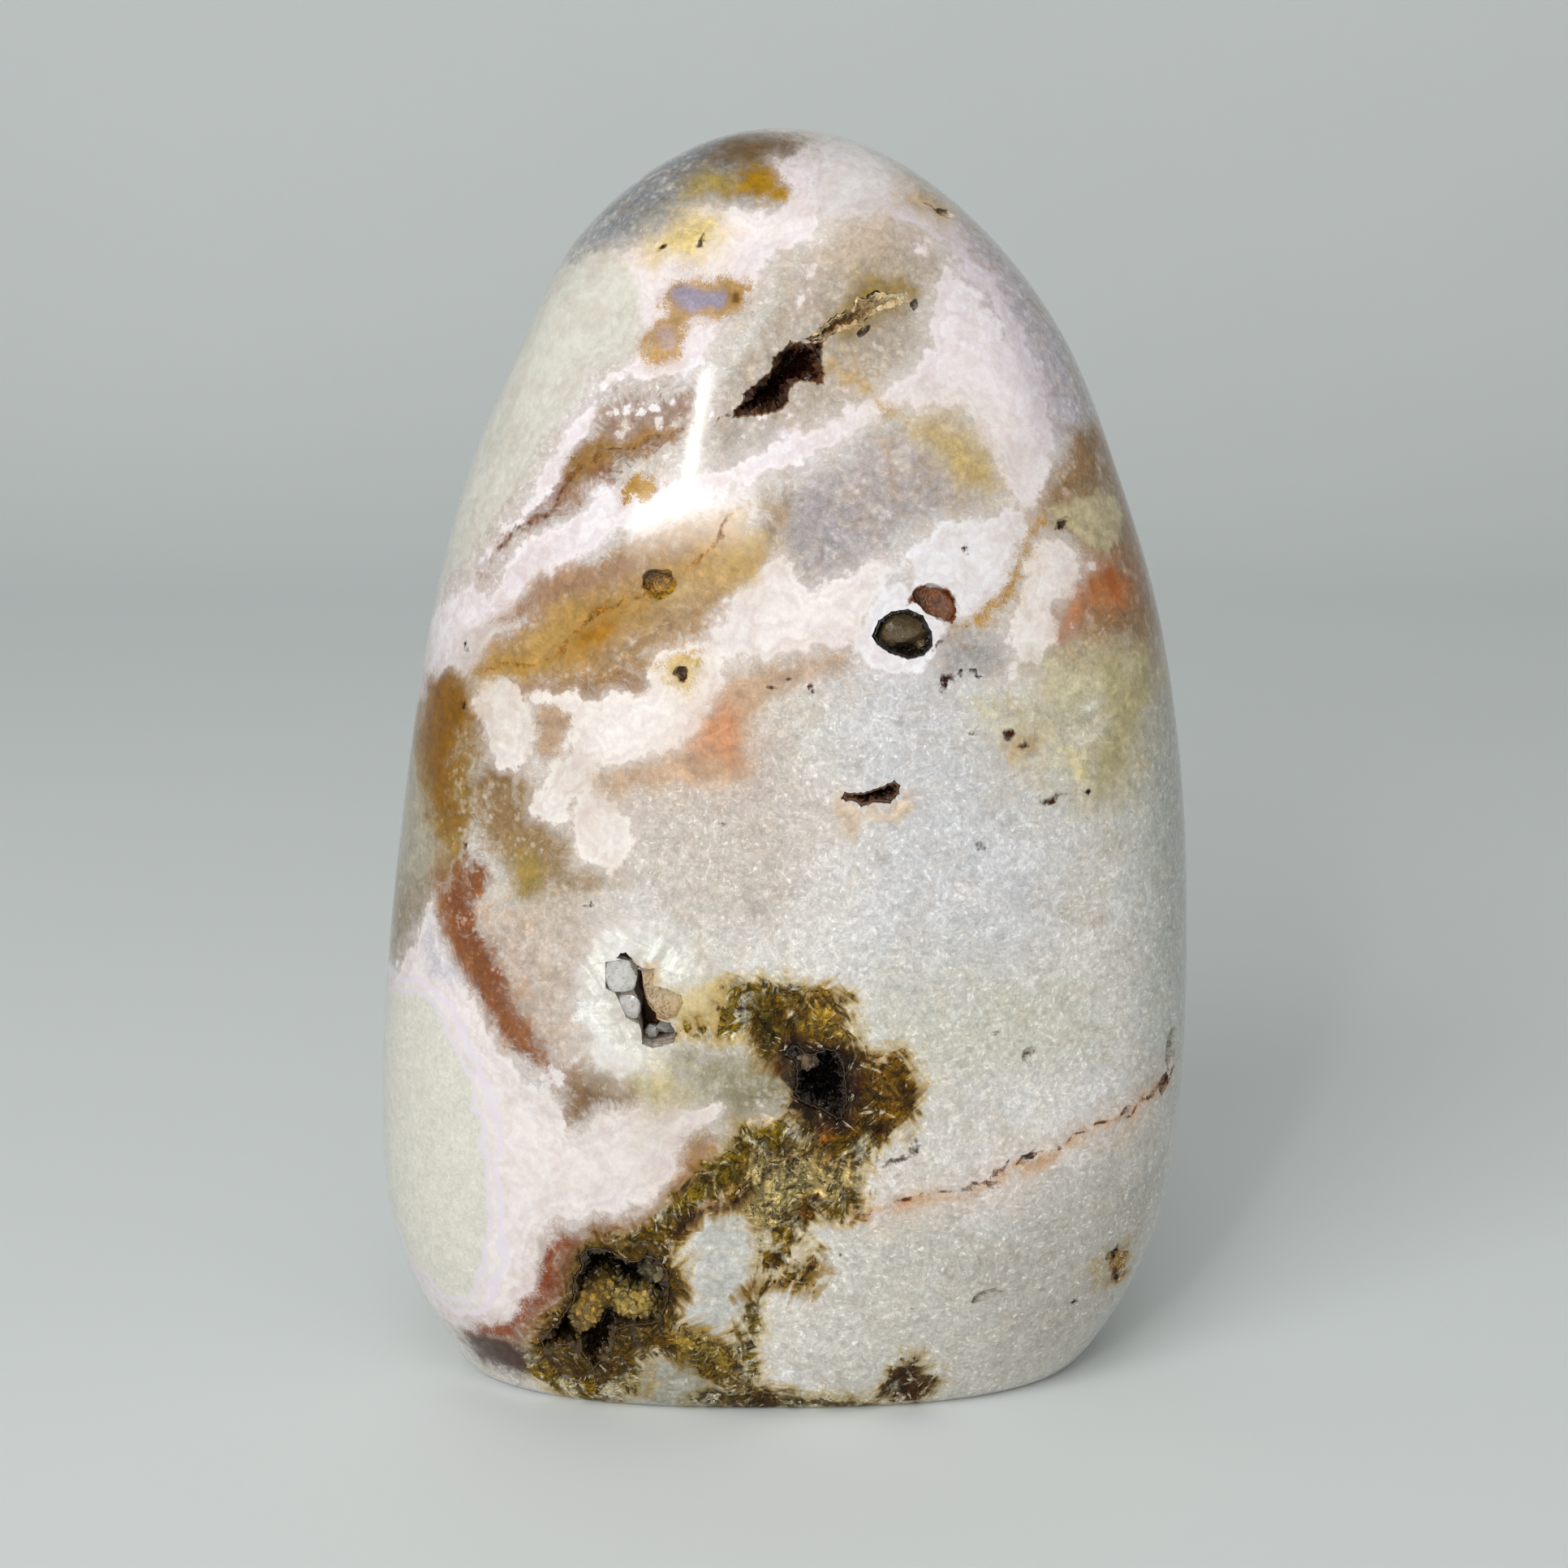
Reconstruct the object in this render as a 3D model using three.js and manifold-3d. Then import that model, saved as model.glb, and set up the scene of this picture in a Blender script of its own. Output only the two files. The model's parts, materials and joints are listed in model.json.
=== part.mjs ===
import * as THREE from 'three';
import { mergeVertices } from 'three/addons/utils/BufferGeometryUtils.js';
import Module from 'manifold-3d';

const wasm = await Module();
wasm.setup();

// A polished freeform of flower agate that stands on a flat cut base.
// Millimetres, +Z up, the face with the hollows looks along -Y, the base's centre is the origin.

// Driving dimensions of the polished body
const height = 120;
const footRound = 1.2; // rounding where the sides meet the base
const sectionPower = 2.5; // 2 is an ellipse, a higher power has squarer shoulders
const apex = { left: -0.5, right: -0.5, depth: 0 };
const stations = [
  { z: 0, left: -32, right: 29, depth: 18.5 },
  { z: 3, left: -33.5, right: 31.5, depth: 20 },
  { z: 8, left: -36.5, right: 34.5, depth: 21.5 },
  { z: 16, left: -39, right: 37.5, depth: 22.5 },
  { z: 28, left: -39.5, right: 39, depth: 23.2 },
  { z: 42, left: -38.5, right: 39.3, depth: 23.3 },
  { z: 58, left: -36.5, right: 38.5, depth: 22.6 },
  { z: 74, left: -33.8, right: 36, depth: 21 },
  { z: 88, left: -30, right: 31.7, depth: 18.8 },
  { z: 100, left: -24.8, right: 26.8, depth: 16 },
  { z: 110, left: -19.3, right: 19.4, depth: 12.2 },
];
const ringCount = 28;
const segmentCount = 48;

// Hollows: the rim is [x, z] on the face, and the depth runs inwards from it
const crustGap = 0.3; // between a crust and the stone around it
const standOff = 4; // how far a cutting solid stands out of the face
const upperHollow = {
  rim: [
    [-5, 94], [-4, 95.5], [-2.5, 97.5], [-1, 98.5], [-1, 101], [0.5, 102], [2.5, 101.5],
    [4.5, 104], [7, 104], [7, 102.5], [4.5, 101.5], [3.5, 99.5], [4.2, 97.5], [3.5, 96.8],
    [1.5, 97.5], [0.5, 95.5], [-1.5, 94], [-3.5, 93.5],
  ],
  depth: 9,
};
const centreHollow = {
  rim: [
    [4.5, 59], [5, 60.5], [7.5, 61.2], [10, 62.2], [11.2, 61], [10.5, 59.2], [7.5, 58.3],
    [6, 56.5], [4.8, 57],
  ],
  depth: 5,
};
const quartzCleft = {
  rim: [
    [-17, 45.5], [-14, 46], [-12, 44.5], [-11.5, 41.5], [-9.8, 39], [-10.3, 36.5], [-13, 36.8],
    [-15, 38], [-16.5, 41],
  ],
  depth: 6,
};
const brownHollow = {
  rim: [
    [-1, 36.5], [0.5, 38], [2.5, 38.3], [4.5, 37.4], [6.5, 36.5], [6.8, 32.5], [6.2, 30.5],
    [5, 29], [3.5, 30.3], [1.5, 30.5], [0, 32.5],
  ],
  depth: 8,
};
const lowerHollow = {
  rim: [
    [-23.5, 6.5], [-23, 9.5], [-21, 11], [-20.5, 13.5], [-18.5, 15.5], [-16, 17.5], [-13.5, 17.3],
    [-11, 15.5], [-10.5, 12.5], [-12, 10], [-14.5, 8.8], [-16, 6.5], [-18, 4], [-20.5, 5.3],
  ],
  depth: 7,
};
const greyPocket = {
  rim: [
    [8, 75.3], [8.6, 76.2], [10.2, 77.1], [11.8, 77.1], [13.1, 76], [13.2, 74.6], [12.3, 73.2],
    [10.6, 72.8], [9, 73.8],
  ],
  depth: 3.5,
};

// Small pits with no crystals: centre on the face, half sizes, depth and the turn of the long side
const pits = [
  { at: [13.4, 78.2], half: [1.9, 1.5], depth: 1.2, turn: -40 },
  { at: [-11.4, 79.7], half: [1.7, 1.3], depth: 1.5, turn: 0 },
  { at: [-9.3, 71.6], half: [0.8, 0.6], depth: 1, turn: 20 },
  { at: [8.1, 104.9], half: [0.8, 0.5], depth: 1, turn: 10 },
  { at: [11.4, 104.6], half: [1, 0.5], depth: 1, turn: -15 },
  { at: [15, 112.2], half: [1.2, 0.5], depth: 0.8, turn: -10 },
  { at: [25.8, 84.3], half: [0.9, 0.7], depth: 0.8, turn: 0 },
  { at: [19, 12.2], half: [1.8, 0.5], depth: 0.9, turn: 20 },
  { at: [22.8, 35.7], half: [0.8, 0.9], depth: 0.7, turn: 0 },
  { at: [31.3, 14.2], half: [0.9, 0.5], depth: 0.7, turn: 10 },
  { at: [19.6, 23.3], half: [1.1, 0.7], depth: 1.2, turn: -15 },
  { at: [22.6, 25.7], half: [1.5, 0.6], depth: 1.2, turn: 30 },
  { at: [29.1, 27.4], half: [1.3, 0.5], depth: 1.1, turn: 30 },
  { at: [32.5, 29], half: [1.4, 0.6], depth: 1.3, turn: 10 },
  { at: [36.4, 30.4], half: [1.3, 0.8], depth: 1.6, turn: 50 },
  { at: [37, 33.6], half: [2, 0.9], depth: 1.4, turn: 80 },
];

const latitudes = [...stations.map((station) => Math.asin(station.z / height)), Math.PI / 2];

// The value of one station column at a latitude, as a smooth curve through the stations
function columnAt(column, latitude) {
  const values = [...stations.map((station) => station[column]), apex[column]];
  const last = values.length - 1;
  const above = latitudes.findIndex((stop) => stop > latitude);
  const low = above < 0 ? last - 1 : above - 1;
  const span = latitudes[low + 1] - latitudes[low];
  const t = (latitude - latitudes[low]) / span;
  const slopeAt = (index) => {
    const before = Math.max(index - 1, 0);
    const after = Math.min(index + 1, last);
    return (values[after] - values[before]) / (latitudes[after] - latitudes[before]);
  };
  return (2 * t ** 3 - 3 * t ** 2 + 1) * values[low]
    + (t ** 3 - 2 * t ** 2 + t) * span * slopeAt(low)
    + (3 * t ** 2 - 2 * t ** 3) * values[low + 1]
    + (t ** 3 - t ** 2) * span * slopeAt(low + 1);
}

// The level section at a height: its middle, half width and half depth
function sectionAt(z) {
  const level = THREE.MathUtils.clamp(z, 0, height);
  const latitude = Math.asin(level / height);
  const left = columnAt('left', latitude);
  const right = columnAt('right', latitude);
  const rise = Math.min(level / footRound, 1);
  const tuck = footRound * (1 - Math.sqrt(1 - (1 - rise) ** 2));
  return {
    middle: (left + right) / 2,
    halfWidth: Math.max((right - left) / 2 - tuck, 0),
    halfDepth: Math.max(columnAt('depth', latitude) - tuck, 0),
  };
}

// How far the polished face lies in front of the stone's middle plane
function faceAt(x, z) {
  const { middle, halfWidth, halfDepth } = sectionAt(z);
  const across = Math.min(Math.abs(x - middle) / halfWidth, 1);
  return -halfDepth * (1 - across ** sectionPower) ** (1 / sectionPower);
}

// A closed geometry with only positions, as a solid that can be joined and cut
function toSolid(geometry) {
  geometry.deleteAttribute('normal');
  geometry.deleteAttribute('uv');
  const merged = mergeVertices(geometry, 1e-4);
  const vertProperties = new Float32Array(merged.attributes.position.array);
  const triVerts = new Uint32Array(merged.index.array);
  return new wasm.Manifold(new wasm.Mesh({ numProp: 3, vertProperties, triVerts }));
}

function toMesh(name, solid, look) {
  const { vertProperties, triVerts } = solid.getMesh();
  const geometry = new THREE.BufferGeometry();
  geometry.setAttribute('position', new THREE.BufferAttribute(vertProperties, 3));
  geometry.setIndex(new THREE.BufferAttribute(triVerts, 1));
  geometry.computeVertexNormals();
  const mesh = new THREE.Mesh(geometry, new THREE.MeshStandardMaterial(look));
  mesh.name = name;
  return mesh;
}

// The whole polished body: a lathe of radius 1 whose rings are drawn out to the sections
function polishedBody() {
  const profile = [new THREE.Vector2(0, 0), new THREE.Vector2(0.6, 0)];
  for (const z of [0, 0.3 * footRound, footRound, 3]) {
    profile.push(new THREE.Vector2(1, z));
  }
  for (let ring = 1; ring < ringCount; ring += 1) {
    const z = height * Math.sin((ring / ringCount) * (Math.PI / 2));
    profile.push(new THREE.Vector2(1, z));
  }
  profile.push(new THREE.Vector2(0, height));
  const geometry = new THREE.LatheGeometry(profile, segmentCount);
  geometry.rotateX(Math.PI / 2);
  const position = geometry.attributes.position;
  for (let i = 0; i < position.count; i += 1) {
    const angle = Math.atan2(position.getY(i), position.getX(i));
    const radius = Math.hypot(position.getX(i), position.getY(i));
    const { middle, halfWidth, halfDepth } = sectionAt(position.getZ(i));
    const swell = (value) => Math.sign(value) * Math.abs(value) ** (2 / sectionPower);
    const x = middle + radius * halfWidth * swell(Math.cos(angle));
    const y = radius * halfDepth * swell(Math.sin(angle));
    position.setXY(i, x, y);
  }
  return toSolid(geometry);
}

function middleOf(rim) {
  const box = new THREE.Box2().setFromPoints(rim.map(([x, z]) => new THREE.Vector2(x, z)));
  return box.getCenter(new THREE.Vector2());
}

// The rim moved inwards by a distance, each corner along the mean of its two sides' normals
function insetRim(rim, distance) {
  return rim.map(([x, z], index) => {
    const before = rim.at(index - 1);
    const after = rim[(index + 1) % rim.length];
    const along = new THREE.Vector2(after[0] - before[0], after[1] - before[1]).normalize();
    return [x + along.y * distance, z - along.x * distance];
  });
}

// A bowl that follows a rim on the face and narrows as it goes in
function bowl(rim, depth, floorScale = 0.45) {
  const centre = middleOf(rim);
  const face = faceAt(centre.x, centre.y);
  const shape = new THREE.Shape(rim.map(([x, z]) => new THREE.Vector2(x, z)));
  const geometry = new THREE.ExtrudeGeometry(shape, { depth: 1, steps: 4, bevelEnabled: false });
  geometry.rotateX(Math.PI / 2);
  const position = geometry.attributes.position;
  for (let i = 0; i < position.count; i += 1) {
    const outwards = -position.getY(i);
    const inside = depth - (depth + standOff) * outwards;
    const sunk = THREE.MathUtils.clamp(inside / depth, 0, 1);
    const scale = floorScale + (1 - floorScale) * Math.sqrt(1 - sunk ** 2);
    const x = centre.x + (position.getX(i) - centre.x) * scale;
    const z = centre.y + (position.getZ(i) - centre.y) * scale;
    position.setXYZ(i, x, face + inside, z);
  }
  return toSolid(geometry);
}

// A shallow oval dent in the face
function pit({ at: [x, z], half, depth, turn }) {
  const geometry = new THREE.IcosahedronGeometry(1, 1);
  geometry.scale(half[0], depth, half[1]);
  geometry.rotateY(THREE.MathUtils.degToRad(-turn));
  geometry.translate(x, faceAt(x, z), z);
  return toSolid(geometry);
}

// A six-sided quartz crystal that starts below the point `foot` and ends in a six-faced tip
function crystal({ foot, direction, radius, length }) {
  const profile = [
    new THREE.Vector2(0, 0),
    new THREE.Vector2(radius, 0),
    new THREE.Vector2(radius * 0.92, length * 0.62),
    new THREE.Vector2(0, length),
  ];
  const geometry = new THREE.LatheGeometry(profile, 6);
  const upright = new THREE.Vector3(0, 1, 0);
  const aim = new THREE.Vector3(...direction).normalize();
  geometry.applyQuaternion(new THREE.Quaternion().setFromUnitVectors(upright, aim));
  geometry.translate(...foot);
  return toSolid(geometry);
}

// A low knob of grown-together grains
function lump({ at: [x, z], size, below }) {
  const geometry = new THREE.IcosahedronGeometry(1, 1);
  geometry.scale(...size);
  geometry.translate(x, faceAt(x, z) + below, z);
  return toSolid(geometry);
}

// Crystals spread over a hollow's floor on a golden-angle spiral, all leaning to its mouth
function floorCrystals({ rim, depth }, count, radius, length) {
  const goldenAngle = Math.PI * (3 - Math.sqrt(5));
  const centre = middleOf(rim);
  const face = faceAt(centre.x, centre.y);
  const reach = new THREE.Box2().setFromPoints(rim.map(([x, z]) => new THREE.Vector2(x, z)));
  const half = reach.getSize(new THREE.Vector2()).multiplyScalar(0.42);
  return Array.from({ length: count }, (unused, index) => {
    const spread = Math.sqrt((index + 0.5) / count);
    const acrossX = spread * Math.cos(index * goldenAngle);
    const acrossZ = spread * Math.sin(index * goldenAngle);
    const sink = depth * (0.95 - 0.35 * spread ** 2);
    const size = 1 + 0.3 * Math.sin(index * 2.1);
    return crystal({
      foot: [centre.x + half.x * acrossX, face + sink, centre.y + half.y * acrossZ],
      direction: [-0.5 * acrossX, -1, -0.5 * acrossZ],
      radius: radius * size,
      length: length * size,
    });
  });
}

// The lining of a hollow with its crystals, cut flush with the polished face, as one solid
function crust(hollow, open, growths) {
  const fitted = bowl(insetRim(hollow.rim, crustGap), hollow.depth - crustGap);
  const openRim = insetRim(hollow.rim, crustGap + open.wall);
  const lining = fitted.subtract(bowl(openRim, hollow.depth * open.depthShare, 0.6));
  const grown = growths.reduce((solid, growth) => solid.add(growth), lining);
  const trimmed = grown.intersect(fitted).intersect(body);
  const pieces = trimmed.decompose();
  return pieces.reduce((best, piece) => (piece.volume() > best.volume() ? piece : best));
}

const body = polishedBody();
const hollows = [upperHollow, centreHollow, quartzCleft, brownHollow, lowerHollow, greyPocket];
const cutters = [...hollows.map(({ rim, depth }) => bowl(rim, depth)), ...pits.map(pit)];
const stone = cutters.reduce((solid, cutter) => solid.subtract(cutter), body);

// Clear crystals on the left of the cleft, their tips over the opening
const clearCrystals = [
  crystal({ foot: [-17.5, -17.5, 44.5], direction: [0.75, -0.75, -0.2], radius: 1.5, length: 5.6 }),
  crystal({ foot: [-17, -17.2, 41.2], direction: [0.8, -0.8, -0.1], radius: 1.2, length: 5.4 }),
  crystal({ foot: [-15.5, -17.5, 38.6], direction: [0.5, -1, 0.1], radius: 1, length: 4.6 }),
  crystal({ foot: [-11, -17.6, 43.8], direction: [-0.35, -1, 0], radius: 0.9, length: 4.2 }),
  crystal({ foot: [-10.5, -17.4, 37.8], direction: [-0.4, -1, 0.2], radius: 1, length: 4 }),
];

// The golden knob that parts the lower hollow in two, and the dark knob under it
const goldenKnobs = [
  lump({ at: [-19, 12], size: [2, 3.4, 1.8], below: 2.6 }),
  lump({ at: [-16.4, 12.2], size: [2.2, 3.2, 1.6], below: 2.4 }),
  lump({ at: [-13.4, 11.4], size: [2.1, 3.4, 1.5], below: 2.8 }),
  lump({ at: [-19.5, 6.2], size: [1.8, 3.2, 1.4], below: 2.8 }),
];

const group = new THREE.Group();
group.add(toMesh('agate_stone', stone, { color: 0xd9cfca, roughness: 0.18, metalness: 0 }));
group.add(toMesh(
  'upper_hollow_crust',
  crust(upperHollow, { wall: 0.35, depthShare: 0.8 }, floorCrystals(upperHollow, 9, 1, 3.2)),
  { color: 0x6b4a2c, roughness: 0.45, metalness: 0 },
));
group.add(toMesh(
  'centre_hollow_crust',
  crust(centreHollow, { wall: 0.35, depthShare: 0.75 }, floorCrystals(centreHollow, 7, 0.8, 2.2)),
  { color: 0xb08a76, roughness: 0.45, metalness: 0 },
));
group.add(toMesh(
  'clear_quartz_crust',
  crust(quartzCleft, { wall: 0.5, depthShare: 0.7 }, clearCrystals),
  { color: 0xdcdcd6, roughness: 0.08, metalness: 0 },
));
group.add(toMesh(
  'brown_hollow_crust',
  crust(brownHollow, { wall: 0.5, depthShare: 0.75 }, floorCrystals(brownHollow, 10, 1, 3.2)),
  { color: 0x4a3416, roughness: 0.5, metalness: 0 },
));
group.add(toMesh(
  'lower_hollow_crust',
  crust(
    lowerHollow,
    { wall: 0.6, depthShare: 0.75 },
    [...floorCrystals(lowerHollow, 12, 1.1, 3.2), ...goldenKnobs],
  ),
  { color: 0x7d5f23, roughness: 0.5, metalness: 0 },
));
group.add(toMesh(
  'grey_pocket_crust',
  crust(greyPocket, { wall: 0.4, depthShare: 0.55 }, floorCrystals(greyPocket, 7, 0.7, 1.4)),
  { color: 0x55504a, roughness: 0.4, metalness: 0 },
));

export default group;
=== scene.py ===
import json
import math
import random

import bmesh
import bpy
import numpy as np
from mathutils import Matrix, Vector

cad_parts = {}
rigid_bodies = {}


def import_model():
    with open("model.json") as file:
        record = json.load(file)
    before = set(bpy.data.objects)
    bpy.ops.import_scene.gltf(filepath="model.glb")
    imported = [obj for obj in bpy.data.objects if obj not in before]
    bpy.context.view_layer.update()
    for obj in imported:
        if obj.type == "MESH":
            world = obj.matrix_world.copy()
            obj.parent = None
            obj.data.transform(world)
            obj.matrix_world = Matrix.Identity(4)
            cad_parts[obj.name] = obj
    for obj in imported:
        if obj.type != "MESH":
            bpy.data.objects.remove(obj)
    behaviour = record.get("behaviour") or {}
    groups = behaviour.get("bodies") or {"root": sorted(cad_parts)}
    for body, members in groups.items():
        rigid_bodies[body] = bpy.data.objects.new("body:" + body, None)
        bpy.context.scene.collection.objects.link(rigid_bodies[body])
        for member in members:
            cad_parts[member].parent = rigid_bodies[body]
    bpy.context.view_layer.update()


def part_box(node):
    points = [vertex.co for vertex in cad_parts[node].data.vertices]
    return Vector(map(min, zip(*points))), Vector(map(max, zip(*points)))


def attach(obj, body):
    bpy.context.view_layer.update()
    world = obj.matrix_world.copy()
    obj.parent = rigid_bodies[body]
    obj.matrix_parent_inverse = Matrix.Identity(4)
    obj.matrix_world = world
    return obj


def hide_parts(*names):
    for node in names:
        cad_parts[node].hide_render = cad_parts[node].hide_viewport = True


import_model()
stoneLow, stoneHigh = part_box("agate_stone")
bpy.ops.object.select_all(action="DESELECT")
print("frame loaded")

mm = stoneHigh.z / 120  # the stone is drawn 120 mm tall


# shape of the polished stone
stone = {
    "height": 120,
    "footRound": 1.2,
    "power": 2.5,  # 2 is an ellipse, a higher power has squarer shoulders
    "apexX": -0.5,
    "rows": 210,
    "columns": 400,
    "frontShare": 1.9,  # how much closer the columns lie in front than behind
    "stations": [  # height, left, right, half depth
        (0, -32, 29, 18.5), (3, -33.5, 31.5, 20), (8, -36.5, 34.5, 21.5), (16, -39, 37.5, 22.5),
        (28, -39.5, 39, 23.2), (42, -38.5, 39.3, 23.3), (58, -36.5, 38.5, 22.6),
        (74, -33.8, 36, 21), (88, -30, 31.7, 18.8), (100, -24.8, 26.8, 16),
        (110, -19.3, 19.4, 12.2),
    ],
}

stationTable = np.array(stone["stations"] + [(stone["height"], stone["apexX"], stone["apexX"], 0)])
latitudes = np.arcsin(stationTable[:, 0] / stone["height"])


def columnAt(column, z):
    values = stationTable[:, column]
    last = len(values) - 1
    before = np.maximum(np.arange(last + 1) - 1, 0)
    after = np.minimum(np.arange(last + 1) + 1, last)
    slopes = (values[after] - values[before]) / (latitudes[after] - latitudes[before])
    latitude = np.arcsin(np.clip(z / stone["height"], 0, 1))
    low = np.clip(np.searchsorted(latitudes, latitude, side="right") - 1, 0, last - 1)
    span = latitudes[low + 1] - latitudes[low]
    t = (latitude - latitudes[low]) / span
    return (
        (2 * t**3 - 3 * t**2 + 1) * values[low]
        + (t**3 - 2 * t**2 + t) * span * slopes[low]
        + (3 * t**2 - 2 * t**3) * values[low + 1]
        + (t**3 - t**2) * span * slopes[low + 1]
    )


def sectionAt(z):
    z = np.asarray(z, float)
    left, right, depth = (columnAt(column, z) for column in (1, 2, 3))
    rise = np.clip(z / stone["footRound"], 0, 1)
    tuck = stone["footRound"] * (1 - np.sqrt(1 - (1 - rise) ** 2))
    halfWidth = np.maximum((right - left) / 2 - tuck, 0)
    return (left + right) / 2, halfWidth, np.maximum(depth - tuck, 0)


def faceAt(x, z):
    middle, halfWidth, halfDepth = sectionAt(z)
    across = np.clip(np.abs(x - middle) / np.maximum(halfWidth, 1e-6), 0, 1)
    return -halfDepth * (1 - across ** stone["power"]) ** (1 / stone["power"])


# small helpers for meshes
def readPoints(piece):
    points = np.empty(len(piece.data.vertices) * 3)
    piece.data.vertices.foreach_get("co", points)
    return points.reshape(-1, 3)


def writePoints(piece, points):
    piece.data.vertices.foreach_set("co", np.asarray(points, float).ravel())
    piece.data.update()


def activate(piece):
    bpy.ops.object.select_all(action="DESELECT")
    piece.select_set(True)
    bpy.context.view_layer.objects.active = piece


def joinPieces(pieces, name):
    activate(pieces[0])
    for piece in pieces[1:]:
        piece.select_set(True)
    bpy.ops.object.join()
    bpy.context.object.name = name
    return bpy.context.object


# Smooth pseudo-random heights from about -1 to 1; size is the largest bump in mm
def roughen(points, size, seed):
    chance = np.random.default_rng(seed)
    total = np.zeros(len(points))
    weight = 0
    for octave in range(4):
        for direction in chance.normal(size=(5, 3)):
            direction /= np.linalg.norm(direction)
            wave = points @ direction * (6.28 / size) * 1.7**octave
            total += np.sin(wave + chance.uniform(0, 6.28)) * 0.62**octave
            weight += 0.62**octave
    return total / weight * 2.2


def smoothOutline(corners, steps=4):
    at = np.array(corners, float)
    before, after, beyond = np.roll(at, 1, 0), np.roll(at, -1, 0), np.roll(at, -2, 0)
    rows = []
    for t in np.arange(steps) / steps:
        rows.append(0.5 * (
            2 * at + (after - before) * t + (2 * before - 5 * at + 4 * after - beyond) * t**2
            + (3 * at - before - 3 * after + beyond) * t**3
        ))
    return np.stack(rows, 1).reshape(-1, 2)


# the polished body
def makeBody():
    # A grid wrapped round into a dome, drawn out to the stone's sections and closed below.
    bpy.ops.mesh.primitive_grid_add(
        x_subdivisions=stone["columns"], y_subdivisions=stone["rows"], size=2
    )
    body = bpy.context.object
    body.name = "agateStone"
    at = readPoints(body)
    # rows lie evenly along the stone's outline
    heights = stone["height"] * np.sin(np.linspace(0, math.pi / 2, 4000))
    widths = sectionAt(heights)[1]
    travel = np.concatenate([[0], np.cumsum(np.hypot(np.diff(heights), np.diff(widths)))])
    z = np.interp((at[:, 1] + 1) / 2 * travel[-1], travel, heights)
    # columns lie evenly round the stone, closer together in front
    turn = np.linspace(-math.pi, math.pi, 8001)
    ringX = 39 * np.sign(np.cos(turn)) * np.abs(np.cos(turn)) ** (2 / stone["power"])
    ringY = 23 * np.sign(np.sin(turn)) * np.abs(np.sin(turn)) ** (2 / stone["power"])
    weight = np.where(ringY[1:] < 4, stone["frontShare"], 1)
    around = np.concatenate([[0], np.cumsum(np.hypot(np.diff(ringX), np.diff(ringY)) * weight)])
    turned = np.interp((at[:, 0] + 1) / 2 * around[-1], around, turn)
    middle, halfWidth, halfDepth = sectionAt(z)
    power = 2 / stone["power"]
    x = middle + halfWidth * np.sign(np.cos(turned)) * np.abs(np.cos(turned)) ** power
    y = halfDepth * np.sign(np.sin(turned)) * np.abs(np.sin(turned)) ** power
    writePoints(body, np.stack([x, y, z], 1) * mm)
    bpy.ops.object.mode_set(mode="EDIT")
    bpy.ops.mesh.select_all(action="SELECT")
    bpy.ops.mesh.remove_doubles(threshold=0.001 * mm)
    bpy.ops.mesh.select_all(action="DESELECT")
    bpy.ops.mesh.select_mode(type="EDGE")
    bpy.ops.mesh.select_non_manifold()
    bpy.ops.mesh.edge_face_add()
    bpy.ops.mesh.select_all(action="SELECT")
    bpy.ops.mesh.normals_make_consistent(inside=False)
    bpy.ops.mesh.select_mode(type="FACE")
    bpy.ops.object.mode_set(mode="OBJECT")
    return body


body = makeBody()
print("polished body:", len(body.data.vertices), "vertices")


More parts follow.
